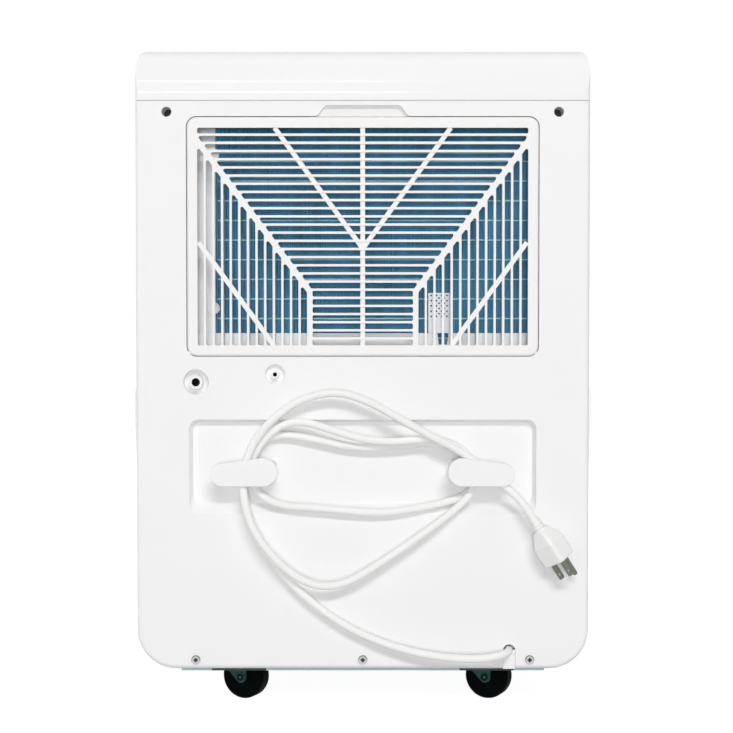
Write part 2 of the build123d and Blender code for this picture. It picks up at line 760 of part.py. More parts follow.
def row_slots():
    """Level slots of the grille, shortened along the two diagonal bars."""
    pitch = (FIELD_HIGH - FIELD_LOW + BAR) / ROWS
    slots = Sketch()
    for row in range(ROWS):
        top = FIELD_HIGH - row * pitch
        low = top - pitch + BAR
        reach = [max(INNER_BAR_IN, min(FIELD_W / 2, diagonal_x(z, 1))) for z in (low, top)]
        points = [(-reach[0], low), (reach[0], low), (reach[1], top), (-reach[1], top)]
        slots += outline_of(points, SLOT_ROUND)
    return slots


def column_slots():
    """Upright slots at both sides of the grille, under the diagonal bars."""
    pitch = (FIELD_W / 2 - INNER_BAR_OUT + BAR) / COLUMNS
    slots = Sketch()
    for column in range(COLUMNS):
        out = FIELD_W / 2 - column * pitch
        inner = out - pitch + BAR
        points = [
            (inner, FIELD_LOW),
            (out, FIELD_LOW),
            (out, diagonal_z(out, -1)),
            (inner, diagonal_z(inner, -1)),
        ]
        for side in (-1, 1):
            slots += outline_of([(side * x, z) for x, z in points][::side], SLOT_ROUND)
    return slots


def deep_bars():
    """The deeper bars of the grille: every third level bar and every third upright one."""
    front, back = REAR_Y - BAR_T / 2, REAR_Y - DEEP_BACK
    pitch = (FIELD_HIGH - FIELD_LOW + BAR) / ROWS
    bars = []
    for row in range(DEEP_STEP, ROWS, DEEP_STEP):
        mid = FIELD_HIGH - row * pitch + BAR / 2
        reach = max(INNER_BAR_IN, diagonal_x(mid, 1)) + BAR / 2
        bars.append(block(-reach, reach, back, front, mid - DEEP_BAR / 2, mid + DEEP_BAR / 2))
    pitch = (FIELD_W / 2 - INNER_BAR_OUT + BAR) / COLUMNS
    for column in range(DEEP_STEP, COLUMNS - 1, DEEP_STEP):
        mid = FIELD_W / 2 - column * pitch + BAR / 2
        for x in (-mid, mid):
            top = diagonal_z(mid, -1)
            bars.append(block(x - DEEP_BAR / 2, x + DEEP_BAR / 2, back, front, FIELD_LOW - BAR / 2, top))
    return bars


def rib_outline(x0, z0, x1, z1):
    """Slanted rib between two points, square to its length at both sides."""
    length = math.hypot(x1 - x0, z1 - z0)
    across_x, across_z = (z1 - z0) / length * RIB / 2, (x0 - x1) / length * RIB / 2
    return outline_of(
        [
            (x0 + across_x, z0 + across_z),
            (x1 + across_x, z1 + across_z),
            (x1 - across_x, z1 - across_z),
            (x0 - across_x, z0 - across_z),
        ]
    )


def filter_grille():
    half = FILTER_W / 2
    frame = upright(
        rectangle(-half, half, FILTER_LOW, FILTER_HIGH, FILTER_CORNER), FILTER_BACK, REAR_Y
    )
    low_edges = [
        edge
        for edge in frame.edges().filter_by(Axis.X)
        if abs(edge.center().Z - FILTER_LOW) < SNUG
    ]
    frame = fillet(low_edges, HINGE_INSET - SNUG)
    margin = BAR
    back = rectangle(
        -FIELD_W / 2 - margin, FIELD_W / 2 + margin, FIELD_LOW - margin, FIELD_HIGH + margin, margin
    )
    frame -= upright(back, FILTER_BACK - WALL, REAR_Y - BAR_T)
    frame -= upright(row_slots() + column_slots(), REAR_Y - 2 * BAR_T, REAR_Y + WALL)
    ribs = rectangle(-RIB / 2, RIB / 2, FIELD_LOW - margin, FIELD_HIGH + margin)
    for side in (-1, 1):
        ribs += rib_outline(side * V_RIB_TOP_X, FIELD_HIGH, 0, V_RIB_FOOT_Z)
        ribs += rib_outline(side * LOW_RIB_TOP_X, LOW_RIB_TOP_Z, side * LOW_RIB_FOOT_X, FIELD_LOW)
    field = rectangle(
        -FIELD_W / 2 - margin / 2, FIELD_W / 2 + margin / 2, FIELD_LOW - margin / 2, FIELD_HIGH + margin / 2
    )
    rib_face = REAR_Y - RIB_SET_BACK
    frame += upright(ribs & field, rib_face - RIB_T, rib_face)
    frame += deep_bars()
    return frame + rod_x(HINGE_Y, HINGE_Z, TRUNNION_R, -half - TRUNNION_OUT, half + TRUNNION_OUT)


def spigot(x, z, radius, bore, deep):
    """Water outlet from the drip tray's rear wall to just outside the rear face."""
    tip = REAR_Y + SPIGOT_OUT
    seat = REAR_Y - deep
    body = rod_y(x, z, radius, seat, tip) + rod_y(x, z, radius - SPIGOT_STEP, TRAY_BACK, seat)
    body = fillet([e for e in body.edges() if e.center().Y > tip - SNUG], radius / 8)
    return body - rod_y(x, z, bore, TRAY_BACK - WALL, tip + WALL)


def cord_hook():
    """One hook: a stem on the recess floor and a long lip that points outwards."""
    in_r, out_r = HOOK_TALL_IN / 2, HOOK_TALL_OUT / 2
    in_c, out_c = HOOK_IN_X + in_r, HOOK_OUT_X - out_r
    low = HOOK_Z - in_r
    bridge = outline_of([(in_c, low), (out_c, low), (out_c, low + 2 * out_r), (in_c, low + 2 * in_r)])
    lip_face = bridge + Pos(in_c, low + in_r) * Circle(in_r) + Pos(out_c, low + out_r) * Circle(out_r)
    lip = upright(lip_face, LIP_IN, LIP_IN + HOOK_LIP_T)
    outer = [e for e in lip.edges() if e.center().Y > LIP_IN + HOOK_LIP_T - SNUG]
    lip = fillet(outer, HOOK_LIP_T / 4)
    stem = rectangle(
        HOOK_STEM_X,
        HOOK_STEM_X + HOOK_STEM_W,
        HOOK_Z - HOOK_STEM_TALL / 2,
        HOOK_Z + HOOK_STEM_TALL / 2,
        HOOK_LIP_T,
    )
    return lip + upright(stem, RECESS_FLOOR, LIP_IN + HOOK_LIP_T / 2)


def cord_hooks():
    hook = cord_hook()
    return [hook, mirrored(hook)]


def cord_clamp():
    """Saddle on the base pan that holds the cord in its slot."""
    saddle_y = IN_REAR - FIT
    x0, x1 = EXIT_X - CLAMP_HALF, EXIT_X + CLAMP_HALF
    body = block(x0, x1, CLAMP_BACK_Y - CLAMP_T, saddle_y, FLOOR_TOP, EXIT_Z)
    tongue = EXIT_W / 2 - FIT
    tongue_top = EXIT_Z - CORD_R - FIT
    body += block(EXIT_X - tongue, EXIT_X + tongue, saddle_y, REAR_Y - FIT, FLOOR_TOP, tongue_top)
    body += block(
        EXIT_X - tongue, EXIT_X + tongue, IN_REAR + FIT, REAR_Y - FIT, BODY_BOTTOM + FIT, tongue_top
    )
    body -= rod_y(EXIT_X, EXIT_Z, CORD_R + FIT, CLAMP_BACK_Y, REAR_Y)
    return body + block(x0, x1, CLAMP_BACK_Y - CLAMP_T, CLAMP_BACK_Y, EXIT_Z - CORD_R, EXIT_TOP)


def screw(x, z, seat_y):
    """Pan head screw with a cross recess, its head on seat_y and its shank inwards."""
    top = seat_y + SCREW_HEAD_T
    head = rod_y(x, z, SCREW_HEAD_R, seat_y, top)
    head = fillet([e for e in head.edges() if e.center().Y > top - SNUG], SCREW_HEAD_T * 0.6)
    for wide, tall in ((CROSS_L, CROSS_W), (CROSS_W, CROSS_L)):
        head -= block(
            x - wide / 2, x + wide / 2, top - CROSS_DEEP, top + WALL, z - tall / 2, z + tall / 2
        )
    return head + rod_y(x, z, SCREW_R, seat_y - SCREW_LENGTH, seat_y)


def cover_screws():
    well = REAR_Y - WELL_DEEP
    screws = [screw(side * TOP_SCREW_X, TOP_SCREW_Z, well) for side in (-1, 1)]
    return screws + [screw(x, LOW_SCREW_Z, REAR_Y) for x in (-LOW_SCREW_X, 0, LOW_SCREW_X)]


def side_grip():
    """Hand grip on the +X side: a cup in the wall under a lip that flares out at its top."""
    lip = make_face(
        Polyline(
            (HALF_W, GRIP_LOW),
            (HALF_W + GRIP_LIP_FOOT, GRIP_LOW),
            (HALF_W + GRIP_LIP, GRIP_HIGH - GRIP_RIM),
            (HALF_W + GRIP_LIP / 2, GRIP_HIGH),
            (HALF_W, GRIP_HIGH),
            close=True,
        )
    )
    grip = upright(lip, GRIP_FRONT, GRIP_BACK)
    outer = rectangle(
        GRIP_FRONT + GRIP_RIM + FIT,
        GRIP_BACK - GRIP_RIM - FIT,
        GRIP_LOW + GRIP_RIM + FIT,
        GRIP_HIGH - GRIP_RIM - FIT,
        GRIP_RIM - FIT,
    )
    grip += sideways(outer, HALF_W - GRIP_DEEP - GRIP_WALL, HALF_W + GRIP_LIP_FOOT / 2)
    inner = offset(outer, -GRIP_WALL)
    return grip - sideways(inner, HALF_W - GRIP_DEEP, HALF_W + 2 * GRIP_LIP)


def caster_places():
    """Name and pivot of each caster; left and right are as seen from behind."""
    places = {}
    for end, y in (("rear", PIVOT_REAR_Y), ("front", PIVOT_FRONT_Y)):
        for side, x in (("left", PIVOT_X), ("right", -PIVOT_X)):
            places[f"{end}_{side}"] = (x, y)
    return places


def base_pan():
    pan = block(-SKIRT_X, SKIRT_X, SKIRT_FRONT, SKIRT_BACK, SKIRT_Z, FLOOR_Z)
    pan += block(-FLOOR_X, FLOOR_X, IN_FRONT + FIT, IN_REAR - FIT, FLOOR_Z, FLOOR_TOP)
    plinth_back = PARTITION_FRONT
    plinth = block(-FLOOR_X, FLOOR_X, IN_FRONT + FIT, plinth_back, FLOOR_TOP, PLINTH_TOP)
    plinth -= block(
        -FLOOR_X + PAN_T,
        FLOOR_X - PAN_T,
        IN_FRONT - WALL,
        plinth_back - PAN_T,
        FLOOR_TOP,
        PLINTH_TOP - PAN_T,
    )
    pan += plinth
    boss_top = LOW_SCREW_Z + BOSS_HALF
    for x in (-LOW_SCREW_X, 0, LOW_SCREW_X):
        pan += block(x - BOSS_HALF, x + BOSS_HALF, IN_REAR - BOSS_DEEP, IN_REAR - FIT, FLOOR_Z, boss_top)
        pan -= rod_y(x, LOW_SCREW_Z, SCREW_R + SNUG, IN_REAR - BOSS_DEEP, IN_REAR)
    hole = CUP_R + CUP_WALL + FIT
    for x, y in caster_places().values():
        pan -= rod_z(x, y, hole, SKIRT_Z - PAN_T, FLOOR_TOP + PAN_T)
        pan -= cup_plate(x, y, SNUG)
    return pan


def cup_plate(x, y, grow):
    """Plate round a caster cup, reaching the base pan's near edge."""
    half = CUP_PLATE_X / 2 + grow
    reach = CUP_R + CUP_WALL
    y0, y1 = y - reach - grow, SKIRT_BACK + grow
    if y < 0:
        y0, y1 = SKIRT_FRONT - grow, y + reach + grow
    return block(x - half, x + half, y0, y1, SKIRT_Z, SKIRT_Z + CUP_PLATE_T)


def caster_cups():
    cups = []
    for x, y in caster_places().values():
        cup = rod_z(x, y, CUP_R + CUP_WALL, SKIRT_Z, CUP_TOP) + cup_plate(x, y, 0)
        cup -= rod_z(x, y, CUP_R, SKIRT_Z - CUP_WALL, CUP_CEILING)
        cup += rod_z(x, y, SOCKET_R, CUP_CEILING, SOCKET_TOP)
        cups.append(cup - rod_z(x, y, STEM_R + FIT, CUP_CEILING - CUP_WALL, SOCKET_TOP - CUP_WALL))
    return cups


def caster_turn(x, y):
    """Place of a caster's parts, which are drawn with the trail towards -X."""
    return Pos(x, y, 0) * Rot(0, 0, CASTER_YAW)


def fork_cheek(y0, y1):
    """One cheek of a fork, leaning back from the axle to the pivot."""
    front = CASTER_TRAIL + FORK_TIP_R
    lean = FORK_TIP_R * math.sqrt(0.5)
    knee = WHEEL_Z + FORK_REACH + CASTER_TRAIL - 2 * lean
    face = outline_of(
        [
            (-front, WHEEL_Z),
            (-CASTER_TRAIL + lean, WHEEL_Z - lean),
            (FORK_REACH, knee),
            (FORK_REACH, FORK_TOP),
            (-front, FORK_TOP),
        ]
    )
    face += Pos(-CASTER_TRAIL, WHEEL_Z) * Circle(FORK_TIP_R)
    cheek = upright(face, y0, y1)
    return cheek - rod_y(-CASTER_TRAIL, WHEEL_Z, AXLE_R + SNUG, y0 - FORK_T, y1 + FORK_T)


def caster_fork(x, y):
    inner = FORK_HALF - FORK_T
    front = CASTER_TRAIL + FORK_TIP_R
    fork = fork_cheek(inner, FORK_HALF) + fork_cheek(-FORK_HALF, -inner)
    fork += block(-front, FORK_REACH, -FORK_HALF, FORK_HALF, BRIDGE_Z, FORK_TOP)
    fork += rod_z(0, 0, STEM_R, BRIDGE_Z, FORK_TOP + STEM_LENGTH)
    axle = rod_y(-CASTER_TRAIL, WHEEL_Z, AXLE_R, -FORK_HALF, FORK_HALF)
    for y0, y1 in ((-FORK_HALF - AXLE_HEAD_T, -FORK_HALF), (FORK_HALF, FORK_HALF + AXLE_HEAD_T)):
        axle += rod_y(-CASTER_TRAIL, WHEEL_Z, AXLE_HEAD_R, y0, y1)
    return [caster_turn(x, y) * piece for piece in (fork, axle)]


def caster_wheel(x, y):
    wheel = rod_y(-CASTER_TRAIL, WHEEL_Z, WHEEL_R, -WHEEL_W / 2, WHEEL_W / 2)
    wheel = fillet(wheel.edges().filter_by(GeomType.CIRCLE), WHEEL_ROUND)
    wheel -= rod_y(-CASTER_TRAIL, WHEEL_Z, AXLE_R + FIT, -WHEEL_W, WHEEL_W)
    return caster_turn(x, y) * wheel


def float_pivot():
    """Depth and height of the float's pivot in the bucket."""
    return BUCKET_BACK - BUCKET_WALL_T - FLOAT_PIVOT_IN, BUCKET_TOP - FLOAT_PIVOT_DROP


def water_bucket():
    half = BUCKET_W / 2
    outer = Pos(0, (FRONT_Y + BUCKET_BACK) / 2) * RectangleRounded(
        BUCKET_W, BUCKET_BACK - FRONT_Y, BUCKET_ROUND
    )
    bucket = flat(outer, BUCKET_LOW, BUCKET_TOP)
    inside_front = FRONT_Y + BUCKET_FRONT_T
    inner_mid = (inside_front + BUCKET_BACK - BUCKET_WALL_T) / 2
    inner = Pos(0, inner_mid) * RectangleRounded(
        2 * (half - BUCKET_WALL_T), BUCKET_BACK - BUCKET_WALL_T - inside_front, BUCKET_ROUND - BUCKET_WALL_T
    )
    bucket -= flat(inner, BUCKET_LOW + BUCKET_WALL_T, BUCKET_TOP + WALL)
    scoop_top = BUCKET_TOP - SCOOP_DROP
    scoop = rectangle(-SCOOP_W / 2, SCOOP_W / 2, scoop_top - SCOOP_TALL, scoop_top, BUCKET_ROUND)
    scoop_end = FRONT_Y + SCOOP_DEEP
    bucket += upright(offset(scoop, BUCKET_WALL_T), inside_front - SNUG, scoop_end + BUCKET_WALL_T)
    bucket -= upright(scoop, FRONT_Y - WALL, scoop_end)
    window = rectangle(
        WINDOW_X - WINDOW_W / 2, WINDOW_X + WINDOW_W / 2, WINDOW_LOW, WINDOW_HIGH, WINDOW_W / 4
    )
    bucket -= upright(window, FRONT_Y - WALL, inside_front + SNUG)
    pivot_y, pivot_z = float_pivot()
    for side in (-1, 1):
        x0 = side * (FLOAT_LUG_X + FLOAT_LUG_T / 2) - FLOAT_LUG_T / 2
        lug = block(
            x0,
            x0 + FLOAT_LUG_T,
            pivot_y - 2 * FLOAT_PIN_R,
            BUCKET_BACK - BUCKET_WALL_T / 2,
            pivot_z - 2 * FLOAT_PIN_R,
            pivot_z + 2 * FLOAT_PIN_R,
        )
        bucket += lug - rod_x(pivot_y, pivot_z, FLOAT_PIN_R + FIT, x0 - WALL, x0 + FLOAT_LUG_T + WALL)
    return bucket


def level_window():
    face = rectangle(
        WINDOW_X - WINDOW_W / 2, WINDOW_X + WINDOW_W / 2, WINDOW_LOW, WINDOW_HIGH, WINDOW_W / 4
    )
    return upright(face, FRONT_Y, FRONT_Y + BUCKET_FRONT_T)


def bucket_lid():
    front = FRONT_Y + BUCKET_FRONT_T
    plan = Pos(0, (front + BUCKET_BACK) / 2) * RectangleRounded(
        BUCKET_W, BUCKET_BACK - front, BUCKET_ROUND
    )
    hole = Pos(0, (front + BUCKET_BACK) / 2) * RectangleRounded(LID_HOLE_W, LID_HOLE_D, BUCKET_ROUND)
    return flat(plan - hole, BUCKET_TOP, BUCKET_TOP + LID_T)


def bucket_float():
    """Foam float on an arm, hung on a pin between two lugs of the bucket."""
    pivot_y, pivot_z = float_pivot()
    pin_half = FLOAT_LUG_X + FLOAT_LUG_T
    arm_half = FLOAT_LUG_X - FIT
    foam_back = pivot_y - FLOAT_REACH + FLOAT_D / 2
    foam_top = pivot_z - FLOAT_DROP + FLOAT_T / 2
    foam = block(
        -FLOAT_W / 2, FLOAT_W / 2, foam_back - FLOAT_D, foam_back, foam_top - FLOAT_T, foam_top
    )
    foam = fillet(foam.edges(), FLOAT_T / 6)
    arm = sideways(
        outline_of(
            [
                (pivot_y - FLOAT_PIN_R, pivot_z + FLOAT_PIN_R),
                (pivot_y + FLOAT_PIN_R, pivot_z - FLOAT_PIN_R),
                (foam_back - FLOAT_D / 2 + FLOAT_PIN_R, foam_top - FLOAT_PIN_R),
                (foam_back - FLOAT_D / 2 - FLOAT_PIN_R, foam_top),
            ]
        ),
        -arm_half,
        arm_half,
    )
    return foam + arm + rod_x(pivot_y, pivot_z, FLOAT_PIN_R, -pin_half, pin_half)


def bucket_wall():
    return block(-IN_W + FIT, IN_W - FIT, PARTITION_FRONT, PARTITION_BACK, FLOOR_TOP, DECK_Z) & upright(
        body_outline(WALL + FIT, SEAM_Z), PARTITION_FRONT, PARTITION_BACK
    )


def mid_deck():
    front = IN_FRONT + FIT
    deck = block(-DECK_FRONT_W / 2, DECK_FRONT_W / 2, front, DECK_NARROW_Y, DECK_Z, DECK_TOP)
    return deck + block(-DECK_REAR_W / 2, DECK_REAR_W / 2, DECK_NARROW_Y, TRAY_BACK, DECK_Z, DECK_TOP)


def drip_tray():
    """Tray under both coils; only its rear wall stands up in front of them."""
    half = TRAY_W / 2
    tray = block(-half, half, TRAY_FRONT, TRAY_BACK, TRAY_LOW, TRAY_TOP)
    tray -= block(
        -half + TRAY_T,
        half - TRAY_T,
        TRAY_FRONT + TRAY_T,
        TRAY_BACK - TRAY_T,
        TRAY_LOW + TRAY_T,
        TRAY_TOP + TRAY_T,
    )
    tray -= block(
        -half - TRAY_T, half + TRAY_T, TRAY_FRONT - TRAY_T, TRAY_BACK - TRAY_T, COIL_LOW, TRAY_TOP + TRAY_T
    )
    for x in (-2 * TRAY_RIB_X, -TRAY_RIB_X, 0, 2 * TRAY_RIB_X):
        tray += block(
            x - TRAY_T / 2, x + TRAY_T / 2, TRAY_FRONT + TRAY_T, TRAY_BACK - TRAY_T, TRAY_LOW + TRAY_T, COIL_LOW
        )
    foot, head = TRAY_NOTCH_LOW_W / 2, TRAY_NOTCH_TOP_W / 2
    low, high = TRAY_TOP - TRAY_NOTCH_TALL, TRAY_TOP + TRAY_T
    corners = [(-foot, low), (foot, low), (head, high), (-head, high)]
    notch = outline_of([(TRAY_NOTCH_X + x, z) for x, z in corners])
    tray -= upright(notch, TRAY_BACK - 2 * TRAY_T, TRAY_BACK + TRAY_T)
    tray -= rod_y(DRAIN_X, DRAIN_Z, DRAIN_BORE_R, TRAY_BACK - 2 * TRAY_T, TRAY_BACK + TRAY_T)
    return tray - rod_y(PUMP_X, PUMP_Z, PUMP_BORE_R + FIT + 1.0, TRAY_BACK - 2 * TRAY_T, TRAY_BACK + TRAY_T)


def tube_heights():
    return [COIL_LOW + (row + 0.5) * TUBE_PITCH for row in range(TUBE_ROWS)]


def coil_tubes(y):
    """One tube that runs to and fro through the fins, with round return bends."""
    start = COIL_LEFT + BRACKET_T + TUBE_END
    left = COIL_LEFT + BRACKET_T + BEND_OUT
    right = COIL_RIGHT - BRACKET_T - BEND_OUT
    bend = TUBE_PITCH / 2
    heights = tube_heights()
    edges = []
    for row, z in enumerate(heights):
        x_from, x_to = (left, right) if row % 2 == 0 else (right, left)
        if row == 0:
            x_from = start
        if row == TUBE_ROWS - 1:
            x_to = start if x_to == left else right - TUBE_END
        edges.append(Line((x_from, y, z), (x_to, y, z)))
        if row < TUBE_ROWS - 1:
            out = bend if x_to == left else -bend
            next_z = heights[row + 1]
            edges.append(ThreePointArc((x_to, y, z), (x_to + out, y, z + bend), (x_to, y, next_z)))
    path = Wire(edges)
    return sweep(Plane(path @ 0, z_dir=path % 0) * Circle(TUBE_R), path=path)


def fin_block(y, deep):
    """Fin pack with holes for its tubes."""
    fins = block(COIL_RIGHT, COIL_LEFT, y - deep / 2, y + deep / 2, COIL_LOW, COIL_TOP)
    for z in tube_heights():
        fins -= rod_x(y, z, TUBE_R + SNUG, COIL_RIGHT - WALL, COIL_LEFT + WALL)
    return fins


def evaporator_fins():
    """The rear coil's fins, with the gaps between them cut in from behind."""
    fins = fin_block(EVAPORATOR_Y, EVAPORATOR_D)
    back = EVAPORATOR_Y + EVAPORATOR_D / 2
    count = int((COIL_LEFT - COIL_RIGHT) / FIN_PITCH)
    margin = (COIL_LEFT - COIL_RIGHT - (count - 1) * FIN_PITCH) / 2
    grooves = []
    for number in range(count):
        x = COIL_RIGHT + margin + number * FIN_PITCH
        grooves.append(
            block(
                x - FIN_GROOVE / 2,
                x + FIN_GROOVE / 2,
                back - FIN_GROOVE_DEEP,
                back + WALL,
                COIL_LOW - WALL,
                COIL_TOP + WALL,
            )
        )
    return fins - grooves


def coil_bracket(inner_x, outward):
    """End plate of both coils with a flange that faces the filter and two ears."""
    outer_x = inner_x + outward * BRACKET_T
    x0, x1 = min(inner_x, outer_x), max(inner_x, outer_x)
    front = CONDENSER_Y - CONDENSER_D / 2
    back = EVAPORATOR_Y + EVAPORATOR_D / 2
    low, high = TRAY_LOW + TRAY_T, COIL_TOP + BRACKET_T
    plate = block(x0, x1, front, back, low, high)
    for y in (EVAPORATOR_Y, CONDENSER_Y):
        for z in tube_heights():
            plate -= rod_x(y, z, TUBE_R + SNUG, x0 - WALL, x1 + WALL)
    flange_x = inner_x + outward * BRACKET_FLANGE
    tray_limit = TRAY_W / 2 - TRAY_T - FIT
    flange_x = max(-tray_limit, min(tray_limit, flange_x))
    plate += block(min(inner_x, flange_x), max(inner_x, flange_x), back - BRACKET_T, back, low, high)
    return plate


def coil_brackets():
    left = coil_bracket(COIL_LEFT, 1)
    back = EVAPORATOR_Y + EVAPORATOR_D / 2
    for z in EAR_Z:
        left += rod_y(COIL_LEFT + BRACKET_T, z, EAR_R, back, back + BRACKET_T)
    return [left, coil_bracket(COIL_RIGHT, -1)]


def sensor_housing():
    """Small perforated box on the tray's rear wall, in front of the fins."""
    front = EVAPORATOR_Y + EVAPORATOR_D / 2 + FIT
    x0, x1 = SENSOR_X - SENSOR_W / 2, SENSOR_X + SENSOR_W / 2
    box = block(x0, x1, front, front + SENSOR_D, TRAY_TOP, TRAY_TOP + SENSOR_TALL)
    box = fillet(box.edges().filter_by(Axis.Y), TRAY_T / 2)
    box -= block(x0 + TRAY_T / 2, x1 - TRAY_T / 2, front - WALL, front + SENSOR_D - TRAY_T / 2,
                 TRAY_TOP + TRAY_T / 2, TRAY_TOP + SENSOR_TALL - TRAY_T / 2)
    first_x = x0 + (SENSOR_W - (SENSOR_HOLES - 1) * SENSOR_PITCH) / 2
    first_z = TRAY_TOP + SENSOR_TALL - SENSOR_PITCH / 2
    for row in range(2 * SENSOR_HOLE_ROWS - 1):
        between = row % 2
        for column in range(SENSOR_HOLES - between):
            x = first_x + (column + between / 2) * SENSOR_PITCH
            z = first_z - row * SENSOR_PITCH / 2
            box -= rod_y(x, z, SENSOR_HOLE_R, front, front + SENSOR_D + WALL)
    return box


def fan_housing():
    """Back plate with the inlet, and a casing that opens upwards into the outlet."""
    back = scroll_back()
    plate_front = back - SCROLL_T
    front = plate_front - SCROLL_DEEP
    half = SCROLL_R + SCROLL_T
    casing = Pos(FAN_X, FAN_Z) * Circle(half) + rectangle(FAN_X - half, FAN_X + half, FAN_Z, DUCT_TOP)
    hollow = Pos(FAN_X, FAN_Z) * Circle(SCROLL_R)
    hollow += rectangle(FAN_X - SCROLL_R, FAN_X + SCROLL_R, FAN_Z, DUCT_TOP + WALL)
    housing = upright(casing, front - SCROLL_T, plate_front)
    housing += block(-TRAY_W / 2, TRAY_W / 2, plate_front, back, DECK_TOP, COIL_TOP)
    housing += block(FAN_X - half, FAN_X + half, plate_front, back, COIL_TOP - WALL, DUCT_TOP)
    housing -= upright(hollow, front, plate_front)
    housing -= rod_y(FAN_X, FAN_Z, INLET_R, plate_front - WALL, back + WALL)
    foot = FAN_HUB_R
    housing += block(FAN_X - foot, FAN_X + foot, front - SCROLL_T, plate_front, DECK_TOP, FAN_Z - SCROLL_R)
    return housing - rod_y(FAN_X, FAN_Z, 2 * SHAFT_R, front - 2 * SCROLL_T, front + WALL)


def fan_front():
    """Inner face of the fan housing's front wall."""
    return scroll_back() - SCROLL_T - SCROLL_DEEP


def fan_wheel():
    """Blower wheel: back disc, hub, straight blades and a ring at the inlet."""
    disc = fan_front() + 2 * SCROLL_T
    tip = scroll_back() - 3 * SCROLL_T
    wheel = rod_y(FAN_X, FAN_Z, FAN_R, disc, disc + SCROLL_T)
    wheel += rod_y(FAN_X, FAN_Z, FAN_HUB_R, disc, disc + FAN_HUB_R)
    ring = rod_y(FAN_X, FAN_Z, FAN_R, tip - SCROLL_T, tip)
    ring_in = FAN_R - BLADE_DEEP - BLADE_T
    ring -= rod_y(FAN_X, FAN_Z, ring_in, tip - 2 * SCROLL_T, tip + SCROLL_T)
    wheel += ring
    blade = block(
        FAN_R - BLADE_DEEP, FAN_R - BLADE_T, disc + SCROLL_T / 2, tip - SCROLL_T / 2, -BLADE_T / 2, BLADE_T / 2
    )
    for number in range(FAN_BLADES):
        wheel += Pos(FAN_X, 0, FAN_Z) * Rot(0, number * 360 / FAN_BLADES, 0) * blade
    return wheel - rod_y(FAN_X, FAN_Z, SHAFT_R + SNUG, disc - SCROLL_T, disc + 2 * FAN_HUB_R)


def fan_shaft():
    disc = fan_front() + 2 * SCROLL_T
    return rod_y(FAN_X, FAN_Z, SHAFT_R, fan_front() - MOTOR_LENGTH / 2, disc + FAN_HUB_R + SHAFT_R)


def fan_motor():
    face = fan_front() - SCROLL_T
    motor = rod_y(FAN_X, FAN_Z, MOTOR_R, face - MOTOR_LENGTH, face)
    motor = fillet([e for e in motor.edges() if e.center().Y < face - WALL], WALL)
    return motor - rod_y(FAN_X, FAN_Z, SHAFT_R + FIT, face - MOTOR_LENGTH / 2 - WALL, face + WALL)


def mount_places():
    """Three feet round the compressor, clear of the casters."""
    return [
        (
            COMPRESSOR_X + FOOT_REACH * math.cos(math.radians(angle)),
            COMPRESSOR_Y + FOOT_REACH * math.sin(math.radians(angle)),
        )
        for angle in (-90, 30, 150)
    ]


def compressor():
    foot_z = FLOOR_TOP + MOUNT_TALL
    foot_top = foot_z + FOOT_T
    top = foot_z + COMPRESSOR_TALL
    can = rod_z(COMPRESSOR_X, COMPRESSOR_Y, COMPRESSOR_R, foot_z, top)
    can = fillet([e for e in can.edges() if e.center().Z > top - SNUG], COMPRESSOR_DOME)
    for x, y in mount_places():
        can += rod_z(x, y, FOOT_R, foot_z, foot_top)
        arm = Pos((x + COMPRESSOR_X) / 2, (y + COMPRESSOR_Y) / 2) * Rot(
            0, 0, math.degrees(math.atan2(y - COMPRESSOR_Y, x - COMPRESSOR_X))
        ) * Rectangle(FOOT_REACH, 2 * FOOT_R)
        can += flat(arm, foot_z, foot_top)
        can -= rod_z(x, y, BOLT_R + FIT, foot_z - WALL, foot_top + WALL)
    x = COMPRESSOR_X + RECEIVER_OUT
    receiver = rod_z(x, COMPRESSOR_Y, RECEIVER_R, RECEIVER_Z, RECEIVER_Z + RECEIVER_TALL)
    receiver = fillet(receiver.edges().filter_by(GeomType.CIRCLE), RECEIVER_R / 2)
    can += receiver
    strap = RECEIVER_R / 2
    for z in (RECEIVER_Z + RECEIVER_R, RECEIVER_Z + RECEIVER_TALL - RECEIVER_R):
        can += block(COMPRESSOR_X, x, COMPRESSOR_Y - strap, COMPRESSOR_Y + strap, z - strap, z + strap)
    return can


def compressor_mounts():
    """Rubber bushes under the compressor's feet."""
    return [
        rod_z(x, y, MOUNT_R, FLOOR_TOP, FLOOR_TOP + MOUNT_TALL)
        - rod_z(x, y, BOLT_R + FIT, FLOOR_TOP - WALL, FLOOR_TOP + MOUNT_TALL + WALL)
        for x, y in mount_places()
    ]


def compressor_bolts():
    foot_top = FLOOR_TOP + MOUNT_TALL + FOOT_T
    bolts = []
    for x, y in mount_places():
        bolt = rod_z(x, y, BOLT_R, FLOOR_TOP, foot_top + NUT_T + BOLT_R)
        nut = flat(Pos(x, y) * RegularPolygon(NUT_R, 6), foot_top, foot_top + NUT_T)
        bolts.append(bolt + nut)
    return bolts


def tube_end_x():
    return COIL_LEFT + BRACKET_T + TUBE_END


def suction_pipe():
    x = COMPRESSOR_X + RECEIVER_OUT
    top = RECEIVER_Z + RECEIVER_TALL
    rise = top + 3 * PIPE_BEND
    low_row = tube_heights()[0]
    return pipe(
        [
            (x, COMPRESSOR_Y, top),
            (x, COMPRESSOR_Y, rise),
            (SUCTION_X, EVAPORATOR_Y, rise),
            (SUCTION_X, EVAPORATOR_Y, low_row),
            (tube_end_x(), EVAPORATOR_Y, low_row),
        ],
        PIPE_R,
        PIPE_BEND,
    )


